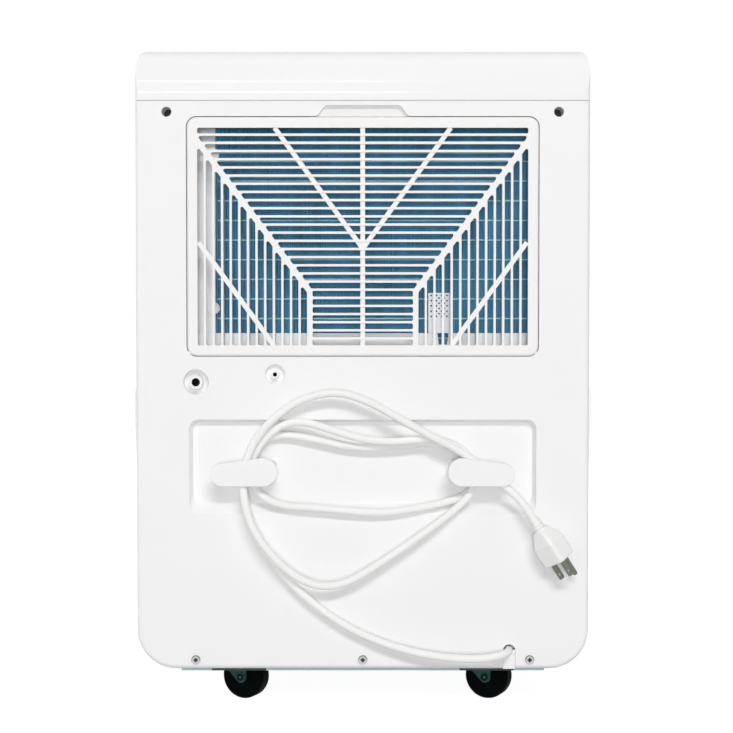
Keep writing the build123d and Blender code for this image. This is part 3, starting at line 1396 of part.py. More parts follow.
def discharge_pipe():
    top = FLOOR_TOP + MOUNT_TALL + COMPRESSOR_TALL
    rise = top + 2 * PIPE_BEND
    high_row = tube_heights()[-1]
    return pipe(
        [
            (COMPRESSOR_X, COMPRESSOR_Y, top),
            (COMPRESSOR_X, COMPRESSOR_Y, rise),
            (DISCHARGE_X, CONDENSER_Y, rise),
            (DISCHARGE_X, CONDENSER_Y, high_row),
            (tube_end_x(), CONDENSER_Y, high_row),
        ],
        TUBE_R,
        PIPE_BEND,
    )


def capillary_tube():
    low_row, high_row = tube_heights()[0], tube_heights()[-1]
    bend = PIPE_BEND / 3
    return pipe(
        [
            (tube_end_x(), CONDENSER_Y, low_row),
            (CAPILLARY_X, CONDENSER_Y, low_row),
            (CAPILLARY_X, EVAPORATOR_Y, high_row),
            (tube_end_x(), EVAPORATOR_Y, high_row),
        ],
        CAPILLARY_R,
        bend,
    )


def condensate_pump():
    """Small pump that stands in the drip tray, with its outlet through the tray's wall."""
    low = TRAY_LOW + TRAY_T
    back = TRAY_BACK - 2 * TRAY_T
    x0, x1 = PUMP_X - PUMP_BODY_W / 2, PUMP_X + PUMP_BODY_W / 2
    body = block(x0, x1, back - PUMP_BODY_D, back, low, COIL_LOW - WALL)
    body = fillet(body.edges().filter_by(Axis.Z), PUMP_BODY_D / 6)
    outlet_r = PUMP_BORE_R + 1.0
    body += rod_y(PUMP_X, PUMP_Z, outlet_r, back - WALL, TRAY_BACK)
    return body - rod_y(PUMP_X, PUMP_Z, PUMP_BORE_R, back - PUMP_BODY_D / 2, TRAY_BACK + WALL)


def electrical_box():
    half = ELECTRIC_W / 2
    back = PARTITION_BACK + ELECTRIC_D
    box = block(
        ELECTRIC_X - half, ELECTRIC_X + half, PARTITION_BACK, back, ELECTRIC_Z, ELECTRIC_Z + ELECTRIC_TALL
    )
    box = fillet([e for e in box.edges() if e.center().Y > back - SNUG], WALL)
    return box - block(
        ELECTRIC_X - half + WALL,
        ELECTRIC_X + half - WALL,
        PARTITION_BACK - WALL,
        back - WALL,
        ELECTRIC_Z + WALL,
        ELECTRIC_Z + ELECTRIC_TALL - WALL,
    )


def run_capacitor():
    y = PARTITION_BACK + CAPACITOR_R
    can = rod_z(CAPACITOR_X, y, CAPACITOR_R, ELECTRIC_Z, ELECTRIC_Z + CAPACITOR_TALL)
    saddle = block(
        CAPACITOR_X - CAPACITOR_R / 2,
        CAPACITOR_X + CAPACITOR_R / 2,
        PARTITION_BACK,
        y,
        ELECTRIC_Z,
        ELECTRIC_Z + CAPACITOR_TALL,
    )
    return can + saddle


def bucket_switch():
    """Reed switch behind the partition, level with the float."""
    z = float_pivot()[1] - FLOAT_DROP
    return block(
        -SWITCH_W / 2,
        SWITCH_W / 2,
        PARTITION_BACK,
        PARTITION_BACK + SWITCH_D,
        z - SWITCH_TALL / 2,
        z + SWITCH_TALL / 2,
    )


def button_places():
    names = ("power", "mode", "fan", "down", "up")
    first = -PANEL_W / 2 + BUTTON_PITCH
    return {name: first + number * BUTTON_PITCH for number, name in enumerate(names)}


def button_outline(x, grow):
    return Pos(x, PANEL_Y) * RectangleRounded(
        BUTTON_W + 2 * grow, BUTTON_D + 2 * grow, BUTTON_ROUND + grow
    )


def display_outline():
    return Pos(DISPLAY_X, PANEL_Y) * RectangleRounded(DISPLAY_W, DISPLAY_D, BUTTON_ROUND / 2)


def post_places():
    return [
        (x, PANEL_Y + side * (PANEL_D / 2 - 2 * POST_R))
        for x in (-PANEL_W / 2 + 2 * POST_R, PANEL_W / 2 - 2 * POST_R)
        for side in (-1, 1)
    ]


def control_panel():
    plate = Pos(0, PANEL_Y) * RectangleRounded(PANEL_W - 2 * FIT, PANEL_D - 2 * FIT, PANEL_FLANGE - FIT)
    flange = Pos(0, PANEL_Y) * RectangleRounded(
        PANEL_W + 2 * PANEL_FLANGE, PANEL_D + 2 * PANEL_FLANGE, PANEL_FLANGE
    )
    flange_low = COVER_FLAT - PANEL_FLANGE_T
    panel = flat(plate, flange_low, PANEL_TOP) + flat(flange, flange_low, COVER_FLAT)
    for x in button_places().values():
        panel -= flat(button_outline(x, FIT), flange_low - WALL, PANEL_TOP + WALL)
    panel -= flat(display_outline(), flange_low - WALL, PANEL_TOP + WALL)
    for x, y in post_places():
        panel += rod_z(x, y, POST_R, board_top(), flange_low)
    return panel


def board_top():
    return COVER_FLAT - BOARD_DROP


def display_window():
    return flat(display_outline(), COVER_FLAT - PANEL_FLANGE_T, PANEL_TOP)


def control_board():
    inset = 2 * FIT
    plan = Pos(0, PANEL_Y) * RectangleRounded(PANEL_W - inset, PANEL_D - inset, PANEL_FLANGE)
    return flat(plan, board_top() - BOARD_T, board_top())


def button(x):
    """Push button that is kept in by a flange under the panel."""
    flange_top = COVER_FLAT - PANEL_FLANGE_T - FIT
    top = PANEL_TOP + BUTTON_PROUD
    cap = flat(button_outline(x, 0), flange_top, top)
    cap = fillet([e for e in cap.edges() if e.center().Z > top - SNUG], BUTTON_PROUD / 2)
    cap += flat(button_outline(x, BUTTON_FLANGE), flange_top - BUTTON_FLANGE_T, flange_top)
    stem_low = board_top() + BUTTON_TRAVEL + FIT
    return cap + rod_z(x, PANEL_Y, BUTTON_STEM_R, stem_low, flange_top)


def air_outlet_grille():
    """Louvre in the top cover, over the fan's duct."""
    mid = outlet_mid_y()
    top = HEIGHT - FIT
    low = top - OUTLET_DEEP
    plan = Pos(FAN_X, mid) * RectangleRounded(OUTLET_W - 2 * FIT, OUTLET_D - 2 * FIT, PANEL_FLANGE - FIT)
    flange = Pos(FAN_X, mid) * RectangleRounded(
        OUTLET_W + 2 * PANEL_FLANGE, OUTLET_D + 2 * PANEL_FLANGE, PANEL_FLANGE
    )
    grille = flat(plan, low, top) + flat(flange, low, COVER_FLAT)
    pitch = (OUTLET_D - 2 * PANEL_FLANGE) / OUTLET_SLATS
    length = OUTLET_W - 4 * PANEL_FLANGE
    for number in range(OUTLET_SLATS):
        y = mid - OUTLET_D / 2 + PANEL_FLANGE + (number + 0.5) * pitch
        gap = Pos(FAN_X, y) * RectangleRounded(length, pitch - SLAT_T, SLAT_T / 2)
        grille -= flat(gap, low - WALL, top + WALL)
    return grille


def plug_plane():
    """Plane at the cord's end of the plug; its X joins the blades, its Z is the plug's axis."""
    axis = Vector(*PLUG_AXIS).normalized()
    outwards = Vector(0, 1, 0)
    across = outwards.cross(axis)
    roll = math.radians(PLUG_ROLL)
    blades = across * math.cos(roll) + outwards * math.sin(roll)
    return Plane(origin=PLUG_AT, x_dir=blades, z_dir=axis)


def plug_body():
    """Moulded plug with its ribbed strain relief."""
    relief = Cone(RELIEF_R0, RELIEF_R1, RELIEF_LENGTH, align=(Align.CENTER, Align.CENTER, Align.MIN))
    pitch = RELIEF_LENGTH / (RELIEF_GROOVES + 1)
    for number in range(RELIEF_GROOVES):
        z = (number + 0.75) * pitch
        ring = Cylinder(2 * RELIEF_R1, pitch / 3) - Cylinder(CORD_R + FIT, pitch / 3)
        relief -= Pos(0, 0, z) * ring
    neck_z = RELIEF_LENGTH - PLUG_ROUND / 2
    shoulder_z = RELIEF_LENGTH + PLUG_SHOULDER
    neck = Pos(0, 0, neck_z) * RectangleRounded(PLUG_NECK_W, PLUG_NECK_D, PLUG_ROUND)
    shoulder = Pos(0, 0, shoulder_z) * RectangleRounded(PLUG_W, PLUG_D, PLUG_ROUND)
    body = loft([neck, shoulder])
    body += extrude(shoulder, amount=PLUG_FACE - shoulder_z)
    body = fillet([e for e in body.edges() if e.center().Z > PLUG_FACE - SNUG], PLUG_ROUND / 2)
    return plug_plane() * (relief + body)


def plug_pins():
    """Two flat blades and a round earth pin on the plug's face."""
    pins = []
    for side in (-1, 1):
        blade = Pos(side * BLADE_PITCH / 2, BLADES_OFF, PLUG_FACE) * Box(
            PIN_BLADE_T, BLADE_W, BLADE_LENGTH, align=(Align.CENTER, Align.CENTER, Align.MIN)
        )
        tip = [e for e in blade.edges().filter_by(Axis.X) if e.center().Z > PLUG_FACE + BLADE_LENGTH - SNUG]
        blade = fillet(tip, BLADE_W / 4)
        hole = Rot(0, 90, 0) * Cylinder(BLADE_HOLE_R, 2 * BLADE_W)
        blade -= Pos(side * BLADE_PITCH / 2, BLADES_OFF, PLUG_FACE + BLADE_LENGTH * 0.7) * hole
        pins.append(blade)
    ground = Pos(0, BLADES_OFF - GROUND_OFF, PLUG_FACE) * Cylinder(
        GROUND_R, GROUND_LENGTH, align=(Align.CENTER, Align.CENTER, Align.MIN)
    )
    tip = [e for e in ground.edges() if e.center().Z > PLUG_FACE + GROUND_LENGTH - SNUG]
    pins.append(fillet(tip, GROUND_R * 0.8))
    return [plug_plane() * pin for pin in pins]


def route_radii():
    """For each inner point of the route, the largest arc that its two runs leave room for."""
    points = [Vector(*point) for point in ROUTE]
    radii = []
    for before, here, after in zip(points, points[1:], points[2:]):
        arriving, leaving = here - before, after - here
        half_turn = math.radians(arriving.get_angle(leaving)) / 2
        radii.append(0.45 * min(arriving.length, leaving.length) / math.tan(half_turn))
    return radii


def least_gap(path, length):
    """Least gap between two stretches of the cord that aren't neighbours, measured on points."""
    step = CORD_R / 2
    count = int(length / step)
    points = [tuple(path @ (number / count)) for number in range(count + 1)]
    apart = int(10 * CORD_R / step)
    least = min(
        math.dist(points[i], points[j])
        for i in range(len(points))
        for j in range(i + apart, len(points))
    )
    return least - 2 * CORD_R


def power_cord():
    """The cord from its clamp, three turns round the hooks, to the plug."""
    radii = route_radii()
    path = FilletPolyline(*ROUTE, radius=radii)
    cord = sweep(Plane(path @ 0, z_dir=path % 0) * Circle(CORD_R), path=path)
    share = cord.volume / (math.pi * CORD_R**2 * path.length)
    print("cord radii:", " ".join(f"{radius:.0f}" for radius in radii))
    print(f"cord length {path.length:.0f}, volume share {share:.4f}, gap {least_gap(path, path.length):.2f}")
    return cord


def pieces():
    """Every node's shape or list of shapes, by name."""
    grip = side_grip()
    nodes = {
        "top_cover": top_cover(),
        "front_cover": front_cover(),
        "rear_cover": rear_cover(),
        "filter_grille": filter_grille(),
        "side_grip_left": grip,
        "side_grip_right": mirrored(grip),
        "drain_nozzle": spigot(DRAIN_X, DRAIN_Z, DRAIN_R, DRAIN_BORE_R, DRAIN_DISH_DEEP),
        "pump_nozzle": spigot(PUMP_X, PUMP_Z, PUMP_R, PUMP_BORE_R, PUMP_DISH_DEEP),
        "cord_hooks": cord_hooks(),
        "cord_clamp": cord_clamp(),
        "cover_screws": cover_screws(),
        "base_pan": base_pan(),
        "caster_cups": caster_cups(),
        "water_bucket": water_bucket(),
        "bucket_lid": bucket_lid(),
        "bucket_float": bucket_float(),
        "level_window": level_window(),
        "bucket_wall": bucket_wall(),
        "mid_deck": mid_deck(),
        "drip_tray": drip_tray(),
        "evaporator_fins": evaporator_fins(),
        "evaporator_tubes": coil_tubes(EVAPORATOR_Y),
        "condenser_fins": fin_block(CONDENSER_Y, CONDENSER_D),
        "condenser_tubes": coil_tubes(CONDENSER_Y),
        "coil_brackets": coil_brackets(),
        "sensor_housing": sensor_housing(),
        "fan_housing": fan_housing(),
        "fan_wheel": fan_wheel(),
        "fan_shaft": fan_shaft(),
        "fan_motor": fan_motor(),
        "compressor": compressor(),
        "compressor_mounts": compressor_mounts(),
        "compressor_bolts": compressor_bolts(),
        "suction_pipe": suction_pipe(),
        "discharge_pipe": discharge_pipe(),
        "capillary_tube": capillary_tube(),
        "condensate_pump": condensate_pump(),
        "electrical_box": electrical_box(),
        "run_capacitor": run_capacitor(),
        "bucket_switch": bucket_switch(),
        "control_panel": control_panel(),
        "display_window": display_window(),
        "control_board": control_board(),
        "air_outlet_grille": air_outlet_grille(),
        "plug_body": plug_body(),
        "plug_pins": plug_pins(),
        "power_cord": power_cord(),
    }
    for name, (x, y) in caster_places().items():
        nodes[f"caster_fork_{name}"] = caster_fork(x, y)
        nodes[f"caster_wheel_{name}"] = caster_wheel(x, y)
    for name, x in button_places().items():
        nodes[f"button_{name}"] = button(x)
    return nodes


def solids_of(shape):
    """One solid, or a compound of the separate solids of a group, raised to its height over the floor."""
    raised = Pos(0, 0, LIFT)
    if isinstance(shape, list):
        return Compound(children=[raised * solid for piece in shape for solid in piece.solids()])
    return raised * shape


os.makedirs("parts", exist_ok=True)
for node, shape in pieces().items():
    export_step(solids_of(shape), f"parts/{node}.step")
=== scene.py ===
# %% [markdown]
# # A room dehumidifier, seen from behind
# The machine is a tall white box on four casters. Its rear carries a removable filter grille with a blue
# coil behind it, two water outlets, and a recess where the mains cord is wound on two hooks.
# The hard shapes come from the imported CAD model. This lesson adds what CAD leaves out: the finishes, the
# thin fins of the coil, the cord as a soft line, the light and the camera.

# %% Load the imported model
import json
import math
import random

import bmesh
import bpy
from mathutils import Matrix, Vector


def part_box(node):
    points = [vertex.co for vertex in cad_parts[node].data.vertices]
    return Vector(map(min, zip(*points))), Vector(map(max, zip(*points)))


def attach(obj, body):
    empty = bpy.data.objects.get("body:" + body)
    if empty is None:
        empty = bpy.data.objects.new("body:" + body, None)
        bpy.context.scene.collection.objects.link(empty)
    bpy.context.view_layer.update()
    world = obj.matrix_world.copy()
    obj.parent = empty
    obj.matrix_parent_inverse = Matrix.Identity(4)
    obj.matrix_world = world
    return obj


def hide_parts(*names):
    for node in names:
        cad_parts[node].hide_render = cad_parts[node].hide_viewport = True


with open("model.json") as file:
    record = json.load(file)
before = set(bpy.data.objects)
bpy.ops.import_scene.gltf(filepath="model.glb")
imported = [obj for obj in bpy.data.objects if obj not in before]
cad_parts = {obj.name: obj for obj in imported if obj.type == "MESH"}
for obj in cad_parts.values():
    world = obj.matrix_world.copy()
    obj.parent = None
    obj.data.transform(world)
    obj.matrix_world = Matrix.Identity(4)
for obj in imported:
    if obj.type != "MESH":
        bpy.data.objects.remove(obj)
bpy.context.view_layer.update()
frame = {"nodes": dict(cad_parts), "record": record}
nodes = frame["nodes"]

# %% [markdown]
# ## Camera
# The photograph was taken from behind and from a little above the middle: the sides of the box lean together
# slightly towards the floor. A shift lens would keep them upright, so the camera is tipped down by nearly two
# degrees instead. The lens follows from the width that the picture covers at the rear panel.

# %% Camera
PICTURE_WIDE = 0.7011
CAMERA_AWAY = 1.6
CAMERA_TILT = math.radians(1.8)
SENSOR = 36.0
aim = Vector((-0.0036, 0.134, 0.3273))

camera_data = bpy.data.cameras.new("camera")
camera_data.sensor_width = SENSOR
camera_data.lens = SENSOR * CAMERA_AWAY / PICTURE_WIDE
camera = bpy.data.objects.new("camera", camera_data)
bpy.context.scene.collection.objects.link(camera)
camera.location = aim + CAMERA_AWAY * Vector((0, math.cos(CAMERA_TILT), math.sin(CAMERA_TILT)))
camera.rotation_mode = "QUATERNION"
camera.rotation_quaternion = (aim - camera.location).to_track_quat("-Z", "Y")
bpy.context.scene.camera = camera
bpy.context.scene.view_settings.view_transform = "Standard"
print("lens", round(camera_data.lens, 1), "mm")

# %% [markdown]
# ## Cord
# The mains cord leaves a clamp at the lower corner, climbs across the panel, makes two and a half loose
# turns round the hooks and ends in its plug. Joining straight pieces would look like bent wire. A NURBS
# line only leans towards its points, so it bends evenly everywhere, as a rubbery cord does.
# The points are the same route that the CAD tube follows, in millimetres.

# %% Cord
CORD_R = 0.0038
cord_route = [
    (-140.8, 124, 54.5), (-140.8, 137, 54.5), (-136.5, 147.5, 53.6), (-125, 153, 51.3),
    (-104, 153, 49), (-66, 149.5, 51.5), (-28, 146.5, 60), (8, 144.5, 74.5),
    (39, 143.5, 94), (65, 143, 116), (86, 143, 140), (101, 142.5, 166),
    (110.5, 140, 190), (115, 131.5, 214), (112.5, 128.5, 238), (98.5, 128.5, 256.5),
    (74.5, 130.5, 262.8), (41, 132, 256.2), (9, 132.5, 249.2), (-28, 133, 249.5),
    (-62, 133, 254.5), (-84, 129.5, 252.5), (-103, 128.5, 241.5), (-109.5, 128.5, 221.5),
    (-101.5, 129.5, 204), (-82.5, 134, 197.5), (-56, 139.5, 192.5), (-23, 141.5, 187.5),
    (12, 142, 189.2), (45, 142, 192.8), (73, 141, 193.5), (94.5, 138.5, 200.5),
    (107.5, 137, 217), (106.5, 137, 238.5), (95.5, 137.5, 257), (79, 139, 271.5),
    (57, 141, 275.5), (31, 142, 267.5), (3, 142, 258.5), (-27, 142, 255),
    (-57, 141, 258.5), (-80, 138, 256), (-99.5, 137, 245.5), (-108.5, 137, 226),
    (-104, 138.5, 205.5), (-87.5, 143, 190.5), (-66, 148, 174.5), (-40, 151, 156.5),
    (-12, 152.5, 138), (14, 153, 122), (39, 153.5, 118), (62, 154, 126.5),
    (83, 154.5, 144.5), (100.5, 154, 166.5), (111, 150.5, 190.5), (114.5, 145.4, 215),
    (110.5, 145.2, 240), (101.5, 147, 259), (85.5, 149.5, 278), (61, 150.5, 296),
    (27, 151, 305), (-5, 151, 295.5), (-36, 150.5, 277.5), (-66, 148.5, 261),
    (-92, 145.6, 247.5), (-115, 145.2, 231.5), (-132, 145.4, 216), (-146, 148.5, 204.5),
    (-155.2, 152.5, 193.8), (-162.3, 152.5, 182.7),
]

cord_curve = bpy.data.curves.new("mains_cord", "CURVE")
cord_curve.dimensions = "3D"
cord_line = cord_curve.splines.new("NURBS")
cord_line.points.add(len(cord_route) - 1)
for point, place in zip(cord_line.points, cord_route):
    point.co = (*(v / 1000 for v in place), 1)
    point.radius = CORD_R
cord_line.order_u = 3
cord_line.use_endpoint_u = True
cord_line.resolution_u = 10
cord_curve.bevel_depth = 1.0
cord_curve.bevel_resolution = 6
cord_curve.use_fill_caps = True
mains_cord = bpy.data.objects.new("mains_cord", cord_curve)
bpy.context.scene.collection.objects.link(mains_cord)
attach(mains_cord, "housing")
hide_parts("power_cord")
print("cord points", len(cord_route))

# %% [markdown]
# ## Floor and backdrop
# The photograph has a white background. A very bright world would wash the white plastic out, so the world
# lights softly but shows as white to the camera and in reflections. The floor mixes its true shade with that
# white and keeps its shadow.

# %% Floor and world
def node_tree(owner):
    owner.use_nodes = True
    owner.node_tree.nodes.clear()
    return owner.node_tree


def seen_directly(tree):
    """1 for camera, mirror and glass rays, 0 for light that is scattered."""
    rays = tree.nodes.new("ShaderNodeLightPath")
    two = tree.nodes.new("ShaderNodeMath")
    two.operation = "MAXIMUM"
    three = tree.nodes.new("ShaderNodeMath")
    three.operation = "MAXIMUM"
    tree.links.new(rays.outputs["Is Camera Ray"], two.inputs[0])
    tree.links.new(rays.outputs["Is Glossy Ray"], two.inputs[1])
    tree.links.new(two.outputs[0], three.inputs[0])
    tree.links.new(rays.outputs["Is Transmission Ray"], three.inputs[1])
    return three.outputs[0]


ROOM_LIGHT = 0.27
world = bpy.data.worlds.new("studio")
bpy.context.scene.world = world
tree = node_tree(world)
strength = tree.nodes.new("ShaderNodeMapRange")
strength.inputs["To Min"].default_value = ROOM_LIGHT
strength.inputs["To Max"].default_value = 1.0
tree.links.new(seen_directly(tree), strength.inputs["Value"])
sky = tree.nodes.new("ShaderNodeBackground")
sky.inputs["Color"].default_value = (1, 1, 1, 1)
tree.links.new(strength.outputs["Result"], sky.inputs["Strength"])
world_out = tree.nodes.new("ShaderNodeOutputWorld")
tree.links.new(sky.outputs[0], world_out.inputs["Surface"])

FLOOR_HALF = 12.0
FLOOR_GREY = 0.6
FLOOR_SHADE_SHARE = 0.35
FLOOR_GLOW = 0.95
floor_corners = [(FLOOR_HALF * x, FLOOR_HALF * y, 0) for x, y in ((-1, -1), (1, -1), (1, 1), (-1, 1))]
floor_mesh = bpy.data.meshes.new("studio_floor")
floor_mesh.from_pydata(floor_corners, [], [(0, 1, 2, 3)])
studio_floor = bpy.data.objects.new("studio_floor", floor_mesh)
bpy.context.scene.collection.objects.link(studio_floor)
floor_paint = bpy.data.materials.new("floor_paint")
tree = node_tree(floor_paint)
shade = tree.nodes.new("ShaderNodeBsdfDiffuse")
shade.inputs["Color"].default_value = (FLOOR_GREY, FLOOR_GREY, FLOOR_GREY, 1)
white = tree.nodes.new("ShaderNodeEmission")
white.inputs["Strength"].default_value = FLOOR_GLOW / (1 - FLOOR_SHADE_SHARE)
share = tree.nodes.new("ShaderNodeMath")
share.operation = "MULTIPLY"
share.inputs[1].default_value = 1 - FLOOR_SHADE_SHARE
tree.links.new(seen_directly(tree), share.inputs[0])
both = tree.nodes.new("ShaderNodeMixShader")
tree.links.new(share.outputs[0], both.inputs["Fac"])
tree.links.new(shade.outputs[0], both.inputs[1])
tree.links.new(white.outputs[0], both.inputs[2])
floor_out = tree.nodes.new("ShaderNodeOutputMaterial")
tree.links.new(both.outputs[0], floor_out.inputs["Surface"])
floor_mesh.materials.append(floor_paint)
print("floor", 2 * FLOOR_HALF, "m wide")

# %% [markdown]
# ## Light
# A wide soft box, far away, about 33 degrees high and a little to the right, throws the cord's shadow just below
# the cord, and a fill on the camera's own line lightens it without a shadow that could be seen. Lamps close by
# would burn out the white nearest to them. These stand far off and light the whole panel evenly.
# Two thin strips show only as the highlight lines on the glossy top cover. One box lights the front, and one the
# side that is turned away from the key light. It stands behind the panel's plane, so it throws no shadow there.

# %% Lamps
def soft_box(name, place, target, wide, tall, watts, mirrored=False):
    """A lamp that is aimed at target. A mirrored one shows only in reflections, any other only as scattered light."""
    lamp = bpy.data.lights.new(name, "AREA")
    lamp.shape = "RECTANGLE"
    lamp.size, lamp.size_y, lamp.energy = wide, tall, watts
    holder = bpy.data.objects.new(name, lamp)
    bpy.context.scene.collection.objects.link(holder)
    holder.location = place
    holder.rotation_mode = "QUATERNION"
    holder.rotation_quaternion = (Vector(target) - Vector(place)).to_track_quat("-Z", "Y")
    holder.visible_glossy = mirrored
    holder.visible_diffuse = not mirrored


REAR_MIDDLE, FRONT_MIDDLE, SIDE_MIDDLE = (0, 0.134, 0.339), (0, -0.15, 0.3), (0.21, 0, 0.33)
COVER_EDGE = (0, 0.134, 0.59)
soft_box("high_box", (-1.28, 7.63, 5.2), REAR_MIDDLE, wide=4.0, tall=1.05, watts=325)
soft_box("lens_box", (0, 5.4, 0.5), REAR_MIDDLE, wide=1.2, tall=0.9, watts=77)
soft_box("low_strip", (0.32, 2.5, 1.1), COVER_EDGE, wide=0.9, tall=0.12, watts=4.2, mirrored=True)
soft_box("high_strip", (0.32, 2.5, 1.56), COVER_EDGE, wide=0.9, tall=0.12, watts=1.5, mirrored=True)
soft_box("front_box", (-0.2, -2.3, 1.9), FRONT_MIDDLE, wide=2.2, tall=0.8, watts=42)
soft_box("side_box", (2.6, 0.1, 1.2), SIDE_MIDDLE, wide=1.6, tall=1.6, watts=15)

# %% [markdown]
# ## Moulded plastic
# Almost everything outside is moulded plastic. It is one colour through and through, with a fine grain
# from the mould and faint, wide changes of sheen.
# Painting those by hand would need pictures, so noise at about the size of such grain does it.

# %% Plastic finish
def linear(red, green, blue):
    """A colour as it is seen on the screen, 0 to 255, as the light value that a shader takes."""
    parts = [v / 255 for v in (red, green, blue)]
    return tuple(v / 12.92 if v <= 0.04045 else ((v + 0.055) / 1.055) ** 2.4 for v in parts)


def noise(tree, size, detail=2.0, stretch=(1, 1, 1)):
    """Noise whose spots are about size metres across."""
    place = tree.nodes.new("ShaderNodeTexCoord")
    fit = tree.nodes.new("ShaderNodeMapping")
    fit.inputs["Scale"].default_value = [s / size for s in stretch]
    tree.links.new(place.outputs["Object"], fit.inputs["Vector"])
    spots = tree.nodes.new("ShaderNodeTexNoise")
    spots.inputs["Scale"].default_value = 1.0
    spots.inputs["Detail"].default_value = detail
    tree.links.new(fit.outputs["Vector"], spots.inputs["Vector"])
    return spots.outputs["Fac"]


def spread(tree, value, low, high, start=0.3, end=0.7):
    """Carries a value between start and end onto the range from low to high."""
    carry = tree.nodes.new("ShaderNodeMapRange")
    for socket, number in (("From Min", start), ("From Max", end), ("To Min", low), ("To Max", high)):
        carry.inputs[socket].default_value = number
    tree.links.new(value, carry.inputs["Value"])
    return carry.outputs["Result"]


def blend_colours(tree, amount, first, second):
    """The first colour where amount is 0, the second where it is 1."""
    mix = tree.nodes.new("ShaderNodeMix")
    mix.data_type = "RGBA"
    mix.inputs["A"].default_value = (*first, 1)
    mix.inputs["B"].default_value = (*second, 1)
    tree.links.new(amount, mix.inputs["Factor"])
    return mix.outputs["Result"]


def relief(tree, shader, value, height):
    """Raises the surface by up to height metres where value is 1."""
    bump = tree.nodes.new("ShaderNodeBump")
    bump.inputs["Distance"].default_value = height
    bump.inputs["Strength"].default_value = 1.0
    tree.links.new(value, bump.inputs["Height"])
    tree.links.new(bump.outputs["Normal"], shader.inputs["Normal"])


COAT_ROUGH = 0.05


def finish(name, colour, rough, grain=0.0006, depth=0.00001, patch=0.05, tone=0.03, sheen_change=0.05,
           stretch=(1, 1, 1), metal=0.0, coat=0.0, specular=0.5):
    """A surface with grain, wide soft patches and a roughness that follows them."""
    paint = bpy.data.materials.new(name)
    tree = node_tree(paint)
    shader = tree.nodes.new("ShaderNodeBsdfPrincipled")
    out = tree.nodes.new("ShaderNodeOutputMaterial")
    tree.links.new(shader.outputs[0], out.inputs["Surface"])
    base = linear(*colour)
    wide = spread(tree, noise(tree, patch, 3.0, stretch), 0.0, 1.0)
    darker = tuple(v * (1 - tone) for v in base)
    tree.links.new(blend_colours(tree, wide, darker, base), shader.inputs["Base Color"])
    tree.links.new(spread(tree, wide, rough + sheen_change, rough, 0, 1), shader.inputs["Roughness"])
    relief(tree, shader, noise(tree, grain, 2.0, stretch), depth)
    shader.inputs["Metallic"].default_value = metal
    shader.inputs["Coat Weight"].default_value = coat
    shader.inputs["Coat Roughness"].default_value = COAT_ROUGH
    shader.inputs["Specular IOR Level"].default_value = specular
    return paint


def from_line(tree, point, way):
    """How far a place on the object lies from the line through point along the unit vector way."""
    place = tree.nodes.new("ShaderNodeTexCoord")
    offset, across, length = (tree.nodes.new("ShaderNodeVectorMath") for step in range(3))
    offset.operation, across.operation, length.operation = "SUBTRACT", "CROSS_PRODUCT", "LENGTH"
    offset.inputs[1].default_value = point
    across.inputs[1].default_value = way
    tree.links.new(place.outputs["Object"], offset.inputs[0])
    tree.links.new(offset.outputs["Vector"], across.inputs[0])
    tree.links.new(across.outputs["Vector"], length.inputs[0])
    return length.outputs["Value"]


def near_line(tree, point, way, reach, edge):
    """1 within reach of that line, and falling to 0 over the width of edge."""
    return spread(tree, from_line(tree, point, way), 1, 0, reach, reach + edge)


def tint(paint, amount, colour):
    """Turns the paint to another colour where amount is 1."""
    tree = paint.node_tree
    base = tree.nodes["Principled BSDF"].inputs["Base Color"]
    before = base.links[0].from_socket
    mix = tree.nodes.new("ShaderNodeMix")
    mix.data_type = "RGBA"
    mix.inputs["B"].default_value = (*linear(*colour), 1)
    tree.links.new(amount, mix.inputs["Factor"])
    tree.links.new(before, mix.inputs["A"])
    tree.links.new(mix.outputs["Result"], base)


def dress(paint, *names):
    """Gives the paint to the CAD pieces with these names."""
    for name in names:
        mesh_slots = nodes[name].material_slots
        for slot in mesh_slots:
            slot.material = paint
        if not mesh_slots:
            nodes[name].data.materials.append(paint)


def shell_white(name):
    return finish(name, (247, 246, 247), 0.6, depth=0.000012, tone=0.008, specular=0.3)


satin_white = shell_white("satin_white_shell")
rear_white = shell_white("rear_white_shell")
filter_white = finish("filter_white", (247, 246, 245), 0.6, depth=0.000012, tone=0.01, specular=0.3)
gloss_white = finish("gloss_white_cover", (246, 245, 245), 0.10, grain=0.03, depth=0.00004, tone=0.006,
                     sheen_change=0.03, coat=0.1)
dress(satin_white, "front_cover", "side_grip_left", "side_grip_right", "cord_hooks", "cord_clamp")
dress(rear_white, "rear_cover")
dress(filter_white, "filter_grille")
dress(gloss_white, "top_cover")
print("white shells dressed")

# %% [markdown]
# The two water outlets are the same white, but in the photograph their bores look nearly black. A long channel
# behind each could do that with shadow alone. The model's bores are short, so the finish paints them dark. It knows
# a bore by its distance from the outlet's axis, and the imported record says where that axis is.

# %% Water outlets
ALONG_X, ALONG_Y = (1, 0, 0), (0, 1, 0)
BORES = {"drain_nozzle": ("drain_outlet", 0.0038), "pump_nozzle": ("pump_outlet", 0.0018)}
BORE_EDGE = 0.0001
outlets = {mount["name"]: mount["pos_m"] for mount in frame["record"]["mounts"]}
for name, (outlet, bore) in BORES.items():
    paint = shell_white(name + "_white")
    inside = near_line(paint.node_tree, outlets[outlet], ALONG_Y, bore + BORE_EDGE, 2 * BORE_EDGE)
    tint(paint, inside, (26, 26, 22))
    dress(paint, name)
print("outlets", list(BORES))

# %% [markdown]
# In the finger notch above the filter the light bounces from wall to wall, and the panel's white would clip there.
# So the floor of the notch is painted a little darker than the panel. A line along the notch, just under that
# floor, tells the finish where it is.

